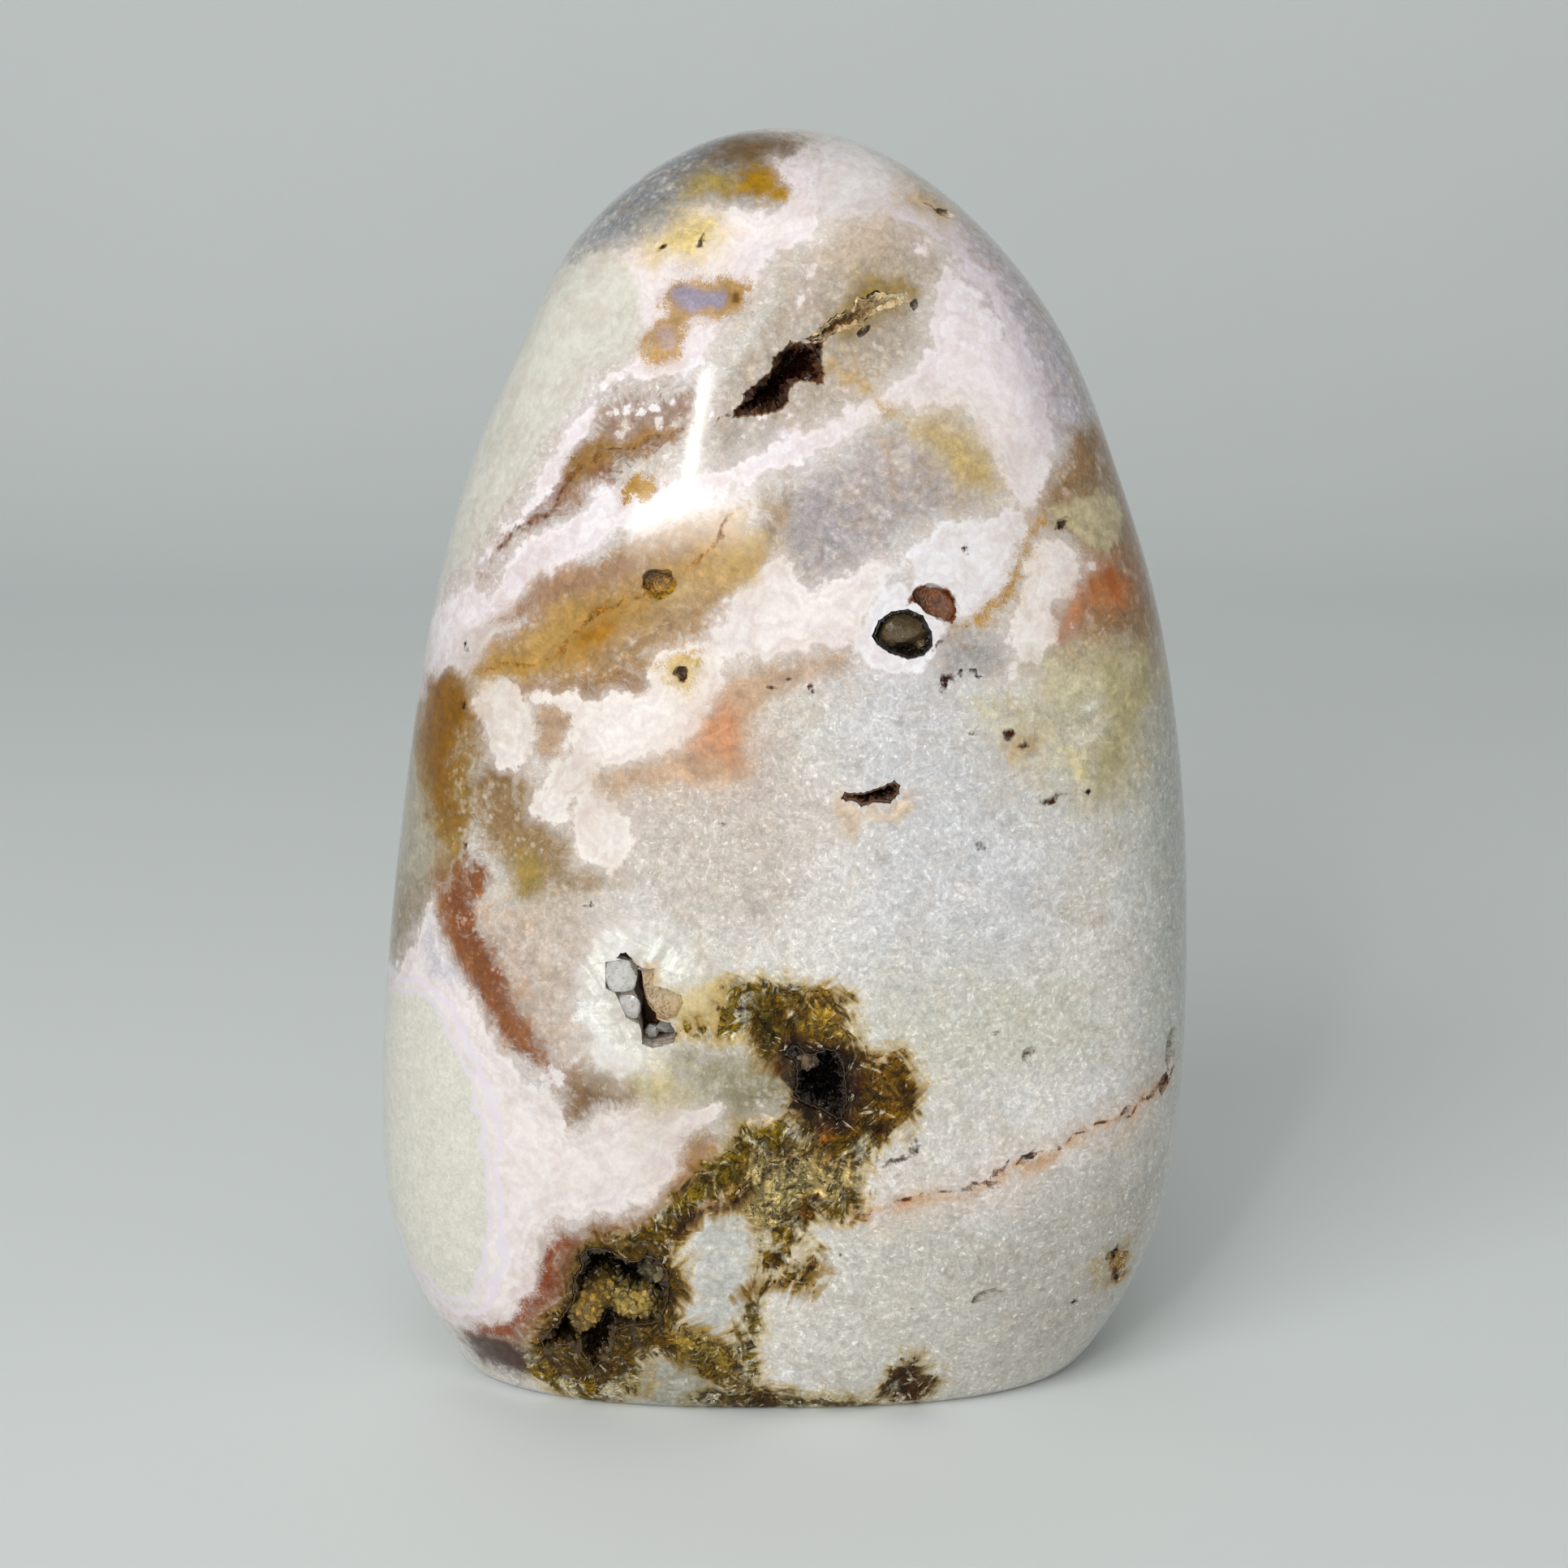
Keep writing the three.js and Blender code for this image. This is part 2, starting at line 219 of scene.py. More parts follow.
# markings of the front
# Each patch is its tone, how soft its edge is in mm, and its outline as (x, z) in mm.
# A line also has its width, and a spot is (x, z, radius).
frontMarkings = {
    "haze": {
        "patches": {
            "warmSugar": ((206, 195, 185), 4, [(-12, 62), (0, 64), (4, 56), (0, 48), (-12, 50), (-16, 56)]),
            "coolSugar": ((213, 212, 213), 4, [(4, 72), (20, 68), (26, 52), (18, 40), (6, 44), (6, 58)]),
            "lowSugar": ((208, 204, 195), 4, [(6, 20), (24, 20), (36, 26), (36, 8), (24, 0), (4, 0)]),
            "dimSugar": ((186, 180, 171), 3, [(16, 16), (30, 24), (38, 22), (34, 6), (24, 4)]),
            "greenSugar": ((212, 209, 195), 3, [(8, 46), (18, 46), (30, 40), (28, 34), (14, 34), (8, 38)]),
            "rightSugar": ((196, 198, 190), 4, [(32, 66), (40, 66), (42, 30), (36, 26), (33, 46)]),
        },
    },
    "glassy": {
        "patches": {
            "greyMauve": ((186, 178, 179), 0.8, [
                (2, 89), (6, 91.5), (9.5, 93), (14.5, 91), (18, 87.5), (17, 85.5), (10.5, 84),
                (7, 81), (3, 79.5), (-0.5, 81.5), (-1, 85)]),
            "tanMauve": ((164, 146, 134), 0.7, [
                (-3, 85.5), (0, 88), (1.5, 86), (0, 82), (-2.5, 81), (-4.5, 83)]),
            "mauveBand": ((187, 161, 141), 0.5, [
                (-23.5, 77), (-21, 80), (-16.5, 82), (-12, 84.5), (-5, 87), (-2.5, 86), (-3, 82),
                (-6.5, 76), (-10, 74), (-12.5, 71), (-19.5, 70), (-27, 70), (-27, 72.5)]),
            "mauveLower": ((162, 130, 102), 0.6, [(-27.5, 70), (-22.2, 70.9), (-17.8, 72.3), (-14.6, 72.8), (-11.4, 71.3), (-13.2, 69.5), (-16.7, 69.3), (-20.5, 68.3), (-25.4, 68.4)]),
            "seamUpper": ((154, 124, 106), 0.4, [
                (-16.5, 92.5), (-15.5, 95.5), (-12, 96), (-9, 97), (-7.5, 97), (-8.5, 92.5),
                (-11.5, 91.5), (-15.5, 90)]),
            "seamLower": ((152, 116, 96), 0.4, [
                (-15.5, 90.5), (-15, 88), (-18, 87), (-21, 85), (-25, 82), (-28.5, 79),
                (-26, 82.8), (-22.5, 86.5), (-19, 90.5), (-16.5, 92.5)]),
            "brownMauve": ((160, 136, 108), 1, [(-28.4, 63), (-24.2, 62.8), (-23, 59), (-21.6, 57.2), (-19.5, 56.6), (-19, 53.5), (-15.7, 53), (-18.5, 50.7), (-22.3, 50.4), (-25.5, 52.6), (-27.9, 55.5), (-29.8, 59.2)]),
            "brownFlank": ((170, 142, 118), 0.8, [(24.6, 94), (25.5, 91), (23.4, 88.8), (22.6, 86.4), (26.3, 82.6), (27.4, 80.8), (27, 78.3), (24.5, 76.3), (25.4, 74.1), (29.1, 73), (33, 71.5), (38, 74), (36, 84), (31, 95), (28, 93)]),
            "flankGrey": ((202, 190, 170), 1.4, [(20.4, 73.2), (25.4, 75), (30, 74.4), (37, 74), (37, 68.2), (31, 67.4), (27.2, 68.2), (23.6, 69.5)]),
            "mauveLow": ((140, 110, 86), 0.6, [(-21.4, 34.6), (-16.2, 35.8), (-13.4, 34), (-14.5, 31.2), (-18.5, 29.7), (-21.4, 28.3), (-20.8, 31.7)]),
            "mauveDruse": ((155, 124, 108), 0.7, [
                (-21, 18.5), (-15, 21), (-10, 24), (-7, 25.5), (-7, 22), (-12, 19), (-17.5, 16.5),
                (-20.5, 12), (-24, 7), (-29, 5), (-27, 8), (-23.5, 12.5)]),
            "greyGrain": ((190, 179, 169), 1, [
                (-7.5, 91), (-7, 95), (-4.5, 99.5), (-1.5, 104), (2, 108), (7, 112), (11.5, 111),
                (14.5, 108), (12.5, 105), (13, 100.5), (8.5, 97), (3, 94), (-3, 91)]),
            "lavenderFlank": ((206, 200, 206), 1.2, [
                (16, 110.5), (17.5, 103), (20, 93.5), (21.5, 90.5), (25, 91), (31, 94), (26, 104),
                (18, 113)]),
            "greyEdge": ((150, 136, 114), 0.6, [
                (-38, 52), (-32.5, 52), (-32, 49), (-33.5, 47), (-37, 40.5), (-40, 44)]),
            "rustBand": ((142, 90, 58), 0.45, [(-33, 53.2), (-32.6, 50.1), (-32.2, 46.9), (-30.8, 43.3), (-28.5, 40.6), (-26.2, 37.6), (-24.3, 35.2), (-20.9, 35.4), (-21.8, 37.4), (-24, 41.6), (-26.4, 44.8), (-28, 48.1), (-27.6, 52), (-28.8, 54)]),
            "rustHalo": ((202, 182, 174), 1.2, [(-28, 49.5), (-23.8, 47.5), (-21.2, 43.9), (-19, 39.6), (-19.4, 36.2), (-23.3, 38.6), (-26.6, 44.5)]),
            "rustTop": ((160, 110, 48), 0.7, [(-33, 54), (-30, 54), (-28.5, 51), (-30, 48), (-32, 49)]),
            "pinkGrey": ((206, 190, 182), 1.6, [
                (-28, 50), (-20, 50.5), (-15.5, 48), (-15, 42), (-17, 36.5), (-21, 36.5), (-25.5, 42)]),
            "greyCool": ((174, 169, 167), 1.2, [(13, 75), (16.9, 75.8), (20.4, 74.6), (21.3, 71.5), (17.3, 70.6), (13.7, 71.6)]),
            "bladeClear": ((208, 202, 184), 0.9, [(17.8, 69), (22.4, 69.6), (26, 71.6), (31.4, 70.4), (34, 65.6), (33.8, 60.6), (30, 57.6), (25.6, 59), (24.4, 62.6), (20.4, 64.6), (18.4, 67)]),
            "bladeSugar": ((212, 210, 198), 1.2, [
                (18, 69), (24, 69), (31, 67), (34, 62), (29, 59), (22, 61.5), (19, 66)]),
            "ochreEdge": ((164, 138, 88), 0.8, [(-36, 67.7), (-34.4, 70), (-30.8, 71.2), (-28.4, 69.3), (-28.1, 66.1), (-28.4, 62.3), (-27.9, 58.6), (-29.4, 55), (-29.1, 50.7), (-31.4, 49), (-34.5, 52.2), (-36.4, 56), (-37, 62)]),
            "greyCap": ((138, 142, 150), 1.4, [
                (-19, 106), (-13, 110.5), (-7, 112.8), (-1.5, 113), (0, 115), (-1, 117), (3, 120),
                (-8, 122), (-22, 112)]),
            "greyGreen": ((152, 146, 124), 1.2, [(-9.4, 36), (-3.6, 36.6), (0.1, 34.8), (0.4, 31), (-3.7, 28.8), (-7.6, 31)]),
            "blueSugar": ((204, 204, 198), 0.8, [
                (-9, 16), (-7, 21), (-2.5, 20.5), (-2, 16), (-5, 10), (-9, 9)]),
            "blueFoot": ((170, 168, 154), 1, [(-14, 5), (-9, 7), (-6, 4), (-7, 0), (-15, 0)]),
            "cleftSugar": ((216, 213, 205), 1.2, [
                (-20, 44.5), (-16, 48), (-10, 48.5), (-6, 44.5), (-11, 40.5), (-13, 36), (-18.5, 37)]),
        },
    },
    "milky": {
        "patches": {
            "wideBand": ((242, 235, 236), 0.22, [
                (-36, 66), (-30.5, 70.5), (-26, 76.5), (-19.5, 81.5), (-12, 85), (-1, 89), (5, 92),
                (10.5, 95), (16.5, 94.5), (20, 88), (21.5, 85.5), (23, 86.5), (24.5, 93), (22, 98),
                (18, 104), (15, 108), (13.5, 101), (11, 97.5), (4, 94.5), (-3, 90.8), (-9, 89.5),
                (-14, 88), (-21, 84.5), (-28, 78), (-28.5, 79.5), (-23.5, 85), (-19.5, 89.5),
                (-17, 93), (-15.5, 96.5), (-8, 98.5), (-6, 102), (-2, 106.5), (3, 112), (3, 119),
                (0, 117.5), (-1, 116), (0.5, 114), (-2, 112), (-6, 112.6), (-12.5, 110),
                (-15.5, 107.5), (-12, 101), (-17, 96), (-22, 89), (-29, 79.5), (-36, 72)]),
            "creamFlank": ((217, 215, 203), 0.5, [
                (-33, 78), (-27.5, 83.5), (-22.5, 90.5), (-18, 96.5), (-13.5, 100), (-13, 103),
                (-12.5, 107), (-16, 109), (-24, 106), (-34, 88)]),
            "creamTop": ((230, 227, 226), 0.5, [
                (2.5, 118.5), (5, 119.5), (10, 117.5), (11, 114), (8, 112.5), (3, 112.5)]),
            "foldTop": ((228, 222, 227), 0.4, [(9.6, 112.4), (11.4, 115), (15.5, 111.5), (19.6, 105.6), (23, 99), (24.6, 93.6), (23.4, 91.6), (21.4, 97), (18.6, 103.6), (15.4, 108.6), (12.6, 110.4)]),
            "whiteRight": ((240, 238, 239), 0.2, [
                (6.5, 74.5), (8.5, 79), (12, 79.8), (11.5, 83), (17, 85), (21, 86), (22.5, 83),
                (20, 78.5), (17, 77), (14.3, 79.5), (13.5, 77.8), (14.5, 75.5), (13, 72.5),
                (10.5, 71.5), (7.5, 73)]),
            "whiteFarRight": ((246, 240, 234), 0.2, [(22.2, 82), (24.6, 83.4), (26.6, 81.4), (27.2, 79.3), (24.8, 77.3), (25.2, 74.4), (22.6, 71.4), (20.4, 72.8), (20.4, 76), (21.6, 79)]),
            "flowerWide": ((242, 235, 231), 0.2, [
                (-4.5, 78.5), (-2.5, 81), (0.5, 81.5), (2.5, 79.5), (6, 81), (9.5, 81), (8, 77.5),
                (6.3, 74), (1, 73.5), (-5, 73), (-9, 73.5), (-6, 75.5)]),
            "flowerBig": ((244, 237, 230), 0.16, [
                (-12, 71), (-12, 73), (-10, 74), (-6, 74), (-5, 71.5), (-6, 68.5), (-8.5, 66),
                (-12.5, 64), (-16, 63), (-19, 64.3), (-20.5, 67.3), (-22.5, 68), (-22, 69.3),
                (-16.5, 69.5), (-13, 70)]),
            "flowerLeft": ((232, 225, 217), 0.16, [
                (-28, 69), (-25, 69.6), (-22.6, 67.5), (-23, 64), (-25, 62.3), (-27.3, 63),
                (-28.3, 66)]),
            "flowerSmall": ((232, 225, 217), 0.14, [
                (-23.5, 58), (-23, 60.5), (-21.5, 63), (-19.5, 63.8), (-16.5, 63.5), (-17, 61),
                (-19, 59.3), (-21, 57.3)]),
            "flowerRound": ((236, 229, 221), 0.16, [
                (-19.4, 56.5), (-18.8, 59.5), (-16, 60.5), (-13.7, 58.5), (-14, 55.8), (-16, 53.3),
                (-18.3, 54.3)]),
            "whiteKnots": ((218, 210, 205), 0.2, [
                (-31, 72.5), (-29.5, 74.5), (-26.5, 77), (-23.7, 76.3), (-26.5, 73.8),
                (-27.5, 70.5), (-29, 69.6), (-30.2, 70.8)]),
            "rosyLow": ((234, 226, 222), 0.25, [
                (-38.5, 38), (-35, 44.5), (-33, 49), (-31.5, 44), (-28, 39), (-24.5, 33.5),
                (-21, 31), (-19.8, 28.2), (-15.5, 30.5), (-9.5, 32), (-5.3, 30.2), (-8.5, 29.2),
                (-10, 27), (-9.6, 25), (-12, 23), (-17, 20.5), (-21, 19.8), (-23, 17.5),
                (-24, 12), (-26.5, 9), (-31, 6.6), (-34, 7), (-40, 18)]),
            "whiteFan": ((236, 234, 230), 0.6, [(-17.5, 46.8), (-13.4, 48.1), (-10.7, 46.6), (-14.5, 45.1), (-16.4, 41.4), (-15.4, 37), (-12.9, 36), (-15.7, 33.4), (-18.1, 36.9), (-18, 42.4)]),
            "cleftKnots": ((214, 212, 205), 1.2, [(-19.5, 42), (-17.5, 46), (-15.5, 45), (-17, 39)]),
        },
        "spots": [
            (-15.2, 94.7, 0.35), (-14.1, 95.1, 0.4), (-12.8, 94.9, 0.35), (-11.8, 95.4, 0.5), (-13.8, 93.4, 0.3),
            (-9.9, 96, 0.4), (-11.2, 93.6, 0.5), (-9.7, 93.4, 0.35), (-14.8, 93, 0.3), (1.4, 104.5, 0.55),
            (5.5, 96.9, 0.4), (1.1, 94.6, 0.35), (-1.6, 94, 0.3), (-3.4, 92.6, 0.3), (-2.7, 29.4, 0.5),
            (-0.5, 30, 0.45),
            (2.5, 104.5, 0.3), (5.5, 95.5, 0.7), (-21, 34, 0.9), (-22, 33.5, 0.6), (-22, 32, 0.9),
            (-19.2, 35.7, 0.4), (26.8, 78.8, 0.6), (27.8, 80.3, 0.4), (29.3, 79.8, 0.4),
            (27, 77, 0.4), (26.3, 75, 0.6), (-1.5, 30, 0.6), (-6.5, 31, 0.7), (-19.8, 64.3, 0.4),
            (21, 70.8, 0.5), (12.5, 109.5, 0.6), (2.5, 107.3, 0.7), (-6.5, 94.5, 0.4),
        ],
        "spotTone": (236, 230, 226),
    },
    "stain": {
        "patches": {
            "ochreBand": ((170, 124, 40), 0.8, [(-6, 82.5), (-8.9, 80), (-11.3, 78.4), (-14.5, 76), (-17.2, 73.6), (-19.6, 73.4), (-18.5, 76.2), (-15.6, 78), (-11.3, 80.9), (-7.1, 83)]),
            "ochreTail": ((186, 146, 72), 0.6, [(-27.5, 69.4), (-22.5, 71.3), (-19, 73), (-20.5, 74), (-23, 72.8), (-27.4, 70.9)]),
            "tanBand": ((190, 160, 116), 0.9, [(-4.9, 86), (-3.3, 83), (-6, 79.3), (-9, 78.6), (-14.5, 74.9), (-17.2, 72.7), (-22.2, 70.9), (-27.5, 69.1), (-27.8, 70.9), (-25.5, 72.4), (-23.3, 75.3), (-20, 77), (-16.7, 78.2), (-13, 80.4), (-9.6, 82), (-7, 84.4)]),
            "tanShelf": ((206, 184, 164), 0.2, [(-13.4, 43.4), (-13.8, 45), (-12.5, 44.6), (-11.8, 44.6), (-11.6, 43), (-9.2, 42), (-9, 41), (-9.8, 39.8), (-12, 39.7), (-12.9, 41)]),
            "centreLedge": ((212, 196, 185), 0.3, [(4.2, 58.9), (4.8, 60.3), (5.8, 59.9), (7, 59.4), (8.5, 59.8), (9.7, 59.7), (11, 60.4), (11.7, 59), (10.5, 58.4), (8.5, 58.4), (7, 57.9), (6.4, 56.5), (5, 56.7)]),
            "fanTan": ((204, 191, 164), 0.5, [(-11.6, 42.5), (-6.6, 43.7), (-3.1, 42.3), (-1.9, 39.6), (-4.8, 37.7), (-9, 38), (-10.4, 39.5)]),
            "bladeOlive": ((208, 202, 180), 0.9, [(23, 72), (27.3, 71.2), (33, 72), (34.2, 69.7), (29.5, 68.4), (25.2, 68.8)]),
            "bladeTan": ((186, 160, 122), 0.6, [(19.5, 65.2), (22, 65.9), (27.4, 61.4), (28.5, 59), (25.2, 58.1), (22, 60.6)]),
            "tanSeam": ((164, 130, 88), 0.4, [(-19.5, 89.2), (-17.2, 91.6), (-14, 92.7), (-10, 93), (-10, 92.5), (-14, 91.8), (-16.6, 89.9), (-18.8, 87.6)]),
            "mauveGap": ((186, 162, 148), 0.35, [(-22.6, 67), (-20.4, 67.8), (-19.6, 65.8), (-20.4, 63.9), (-22.4, 64.4)]),
            "brownBand": ((170, 138, 122), 0.7, [(-22.7, 78.3), (-20, 80.2), (-16.7, 80.8), (-13.2, 81.8), (-14.5, 79.6), (-17.8, 78.4), (-20.5, 77.1), (-23.3, 76.4), (-27, 75.6), (-25, 77.3)]),
            "tanCrystal": ((200, 178, 152), 0.6, [
                (-9.5, 81), (-7, 81), (-7, 79), (-9, 77.5), (-11, 77.6), (-12, 79)]),
            "oliveTan": ((196, 170, 120), 1.2, [(-7, 82), (-4, 84.5), (-1.5, 84), (-3, 80), (-6, 79)]),
            "ochreDeep": ((142, 104, 34), 0.8, [(-34.2, 68.5), (-32, 69.8), (-29.6, 69.6), (-28.8, 66.6), (-30, 64.3), (-31, 60), (-30.8, 57.4), (-32.6, 57), (-34.4, 62)]),
            "greyFlank": ((172, 164, 148), 0.8, [(-36.4, 60), (-34.6, 61), (-33.4, 56.6), (-32, 52.4), (-33.6, 50), (-37.4, 51)]),
            "oliveSpot": ((166, 146, 92), 0.6, [(-25.1, 53.7), (-22.8, 53.9), (-22.1, 51.4), (-24.5, 51.2)]),
            "pinkStreak": ((202, 176, 164), 0.8, [(6, 73.3), (2.5, 73.2), (-1.8, 72.2), (-5.5, 70), (-8.1, 65.6), (-12.4, 63.4), (-16.8, 62), (-15.7, 60.2), (-10.3, 61.2), (-3.9, 62), (-2.8, 66.1), (-0.7, 69.4), (2.5, 71), (6, 71.5)]),
            "capBrown": ((116, 94, 64), 1, [(-8.2, 118), (-6, 116.6), (-3, 116.4), (-1, 117.2), (1.8, 118.4), (3, 120), (-6, 121)]),
            "capOlive": ((172, 158, 112), 0.9, [(-9, 114.8), (-5.9, 116.2), (-4, 115.4), (-5, 113.6), (-8, 113.4)]),
            "capAmber": ((184, 146, 38), 0.5, [(-5.9, 114.3), (-3.7, 113.8), (-1, 113), (0.3, 114), (-0.6, 115.3), (-1, 116.8), (-2.4, 117.3), (-4.6, 116)]),
            "stainTop": ((236, 220, 180), 1, [
                (-12.5, 108.5), (-11.5, 111), (-8, 112.3), (-5, 111), (-7, 109), (-10.5, 108)]),
            "eye": ((200, 168, 128), 0.3, [(-10.2, 106), (-8.9, 107.2), (-6.7, 106.8), (-4.5, 106.8), (-2.8, 106.4), (-4.1, 103.9), (-5.8, 102.8), (-8.2, 103), (-9.1, 101.7), (-9.7, 100), (-12.4, 98.5), (-12.8, 100.8), (-10.8, 103.4)]),
            "ochreOval": ((186, 147, 72), 0.2, [
                (-14.4, 87.1), (-13.8, 88.4), (-12, 89.1), (-11.5, 88.4), (-12.5, 87.2)]),
            "oliveStain": ((158, 138, 88), 0.9, [
                (5, 103), (6.5, 107), (9, 106.6), (11.8, 105.2), (9.5, 104), (7.5, 102), (5.5, 101.6)]),
            "orangeSpot": ((198, 138, 104), 0.8, [(27.2, 78.9), (30.1, 80.6), (32.6, 79.6), (32.3, 76.6), (30.1, 75.9), (28.4, 76.5), (25.2, 73.8), (25.4, 76)]),
            "bladeTan": ((196, 178, 156), 1, [(20, 65.5), (23.5, 66), (23.5, 63.5), (20.8, 62.8)]),
            "yellowLow": ((188, 176, 140), 1.6, [(-14, 34), (-10, 35.2), (-9.3, 33), (-12.5, 31.5)]),
            "rustPatch": ((176, 146, 124), 0.6, [(-9.8, 28.5), (-7, 29), (-5.8, 26), (-8, 23.6), (-9.6, 25.5)]),
            "brownBase": ((78, 58, 32), 0.6, [(-31.5, 6), (-28, 6.8), (-23.5, 5.5), (-24.5, 2), (-30, 2.5)]),
            "tanPatch": ((206, 188, 158), 1.4, [
                (11.5, 93.5), (14, 95), (18, 92.7), (19.5, 88.5), (17, 87.7), (13.5, 90.5)]),
            "pitHalo": ((166, 136, 92), 0.4, [
                (-13.2, 79.5), (-12.4, 81), (-11, 81.4), (-9.6, 80.4), (-9.7, 78.8), (-11.2, 77.8),
                (-12.6, 78.2)]),
            "flowerEye": ((226, 206, 172), 0.5, [
                (-11, 71.6), (-10.3, 73), (-8.6, 73.2), (-7.6, 72), (-8.2, 70.4), (-10, 70.2)]),
            "tanTop": ((206, 187, 163), 0.8, [(10.5, 114), (13, 114.4), (16, 112.3), (13.5, 111.5)]),
            "rosyTop": ((214, 198, 188), 1.4, [(3, 111), (9, 112), (10, 109.5), (5, 107.5)]),
            "lavenderLow": ((214, 208, 212), 0.5, [
                (-34, 45.5), (-32.6, 48), (-32.6, 46), (-30, 42), (-33, 42)]),
            "yellowGreen": ((188, 181, 152), 0.9, [(29.1, 72.4), (31.5, 72), (34, 70), (33.4, 66), (31, 61), (28.8, 61.6), (29.6, 68)]),
        },
        "lines": {
            "yellowVein": ((206, 178, 130), 0.6, 0.5, [
                (4.3, 99), (8, 96.8), (9.8, 94.8), (13.5, 92.5), (16.5, 89.8), (19.8, 88.2)]),
            "veinRight": ((190, 148, 52), 0.5, 0.7, [
                (23.3, 84.6), (22, 82), (20.3, 78), (18, 76.6), (15, 75.4)]),
            "orangeVein": ((186, 138, 84), 0.4, 0.4, [
                (-8.5, 81), (-7.2, 81.7), (-6.8, 83), (-5.8, 83.8), (-5.5, 85)]),
            "crackHalo": ((208, 160, 116), 0.7, 0.8, [
                (6, 21.5), (11.5, 22), (17.8, 23), (21, 23.8), (25.3, 26), (30.5, 27.6), (36, 30)]),
            "bladeA": ((236, 232, 218), 0.3, 0.7, [(24.1, 64), (25.3, 61.3)]),
            "bladeB": ((228, 222, 200), 0.3, 0.7, [(24.7, 64.8), (26.8, 63.8)]),
            "bladeC": ((238, 234, 222), 0.3, 0.7, [(26.2, 65.3), (28.4, 64.2)]),
            "bladeD": ((226, 218, 190), 0.3, 0.7, [(25.6, 63), (27.4, 61.7)]),
            "bladeE": ((238, 236, 226), 0.3, 0.7, [(27.7, 67.5), (29.9, 67.6)]),
            "bladeF": ((236, 232, 220), 0.3, 0.7, [(28.7, 66.2), (31.2, 65.3)]),
            "bladeG": ((222, 214, 176), 0.3, 0.7, [(30.5, 70.7), (32.5, 67.2)]),
            "bladeH": ((214, 204, 166), 0.3, 0.7, [(33.2, 71.4), (33.9, 67.8)]),
            "bladeI": ((228, 222, 204), 0.3, 0.7, [(17.8, 68.4), (20.2, 66.5)]),
            "bladeJ": ((232, 226, 212), 0.3, 0.7, [(20.2, 66.1), (23.2, 65.7)]),
            "fanA": ((244, 242, 236), 0.3, 0.7, [(-11.6, 42.8), (-8.1, 41.6)]),
            "fanB": ((240, 236, 224), 0.3, 0.7, [(-10.1, 43.1), (-7.2, 42.1)]),
            "fanC": ((238, 236, 226), 0.3, 0.7, [(-11.3, 43.7), (-8.9, 44.9)]),
            "fanD": ((206, 182, 160), 0.3, 0.7, [(-12.5, 40.9), (-10.7, 38.3)]),
            "fanE": ((226, 214, 178), 0.3, 0.7, [(-7.2, 41.6), (-4.8, 43.8)]),
            "fanF": ((224, 212, 180), 0.3, 0.7, [(-6.6, 41), (-3.7, 40.2)]),
            "fanG": ((216, 200, 164), 0.3, 0.7, [(-7.2, 40.7), (-6, 37.7)]),
            "fanH": ((236, 232, 218), 0.3, 0.7, [(-12.5, 36.4), (-11.3, 33.4)]),
            "fanI": ((238, 236, 226), 0.3, 0.7, [(-13.1, 35.7), (-12.8, 32.7)]),
            "fanJ": ((234, 228, 208), 0.3, 0.7, [(-11.3, 36.1), (-10.2, 34)]),
            "fanK": ((240, 240, 234), 0.3, 0.7, [(-15.5, 36.6), (-13.1, 36.4)]),
            "fanL": ((240, 240, 238), 0.3, 0.7, [(-19, 40.6), (-16.7, 37.7)]),
            "rustSpine": ((150, 98, 62), 0.5, 0.9, [(-32.9, 52.7), (-31.9, 48.7), (-30, 45.1), (-27.1, 41.3), (-24.1, 37.8), (-21.8, 35.4)]),
            "rustLow": ((144, 82, 50), 0.35, 1.3, [
                (-20.8, 17.8), (-21.8, 15.5), (-22.8, 12.2), (-25, 9.3), (-28, 7.2), (-31, 5.8)]),
            "amberEye": ((205, 165, 90), 0.3, 0.5, [(-11.2, 72.2), (-9.3, 73), (-7.8, 73.2)]),
            "tanFold": ((196, 172, 150), 0.5, 0.3, [(9.3, 91.8), (9.5, 90), (10, 87.8)]),
        },
    },
    "core": {
        "patches": {
            "eyeViolet": ((158, 149, 164), 0.35, [(-9.7, 105.4), (-8.5, 106.4), (-6.7, 105.8), (-5.4, 105.7), (-5.8, 104.1), (-8, 103.6), (-9.4, 104)]),
            "eyeMauve": ((186, 160, 148), 0.35, [(-12, 101), (-11, 102.4), (-10, 102.2), (-10.6, 100.4)]),
            "salmon": ((200, 146, 112), 0.9, [(-8, 66), (-5.4, 68.4), (-4.4, 66.6), (-3.9, 63.6), (-6, 64.2), (-9, 64.4)]),
            "creamEye": ((214, 211, 199), 0.15, [
                (-40, 37), (-36, 39.8), (-33.5, 39.5), (-31.5, 37.5), (-29.5, 34), (-28.3, 30),
                (-27.8, 25), (-27.6, 20), (-27.8, 15.5), (-28.8, 12), (-30.3, 9.8), (-33, 9.5),
                (-37, 13), (-41, 22)]),
            "nodule": ((198, 184, 150), 0.3, [(24.7, 85.4), (26.4, 86.7), (29.3, 86.8), (31.6, 85), (30.9, 82.4), (28.7, 81.6), (26.4, 83.3), (25, 84)]),
            "brownSpeck": ((120, 84, 44), 0.2, [(-5.2, 105.4), (-4.4, 105.6), (-4.1, 104.9), (-4.9, 104.6)]),
            "noduleHeart": ((152, 130, 86), 0.4, [(25.4, 85), (26.3, 85.5), (27.2, 84.8), (26.2, 84)]),
            "orangeHeart": ((176, 104, 62), 0.5, [(29.5, 79.5), (31.2, 79.6), (31.3, 77.5), (29.8, 77.8)]),
            "ochreHeart": ((164, 116, 42), 0.5, [(-19, 74.2), (-17, 75.6), (-15.5, 76), (-16, 74.4), (-18, 73.4)]),
        },
    },
    "druse": {
        "patches": {
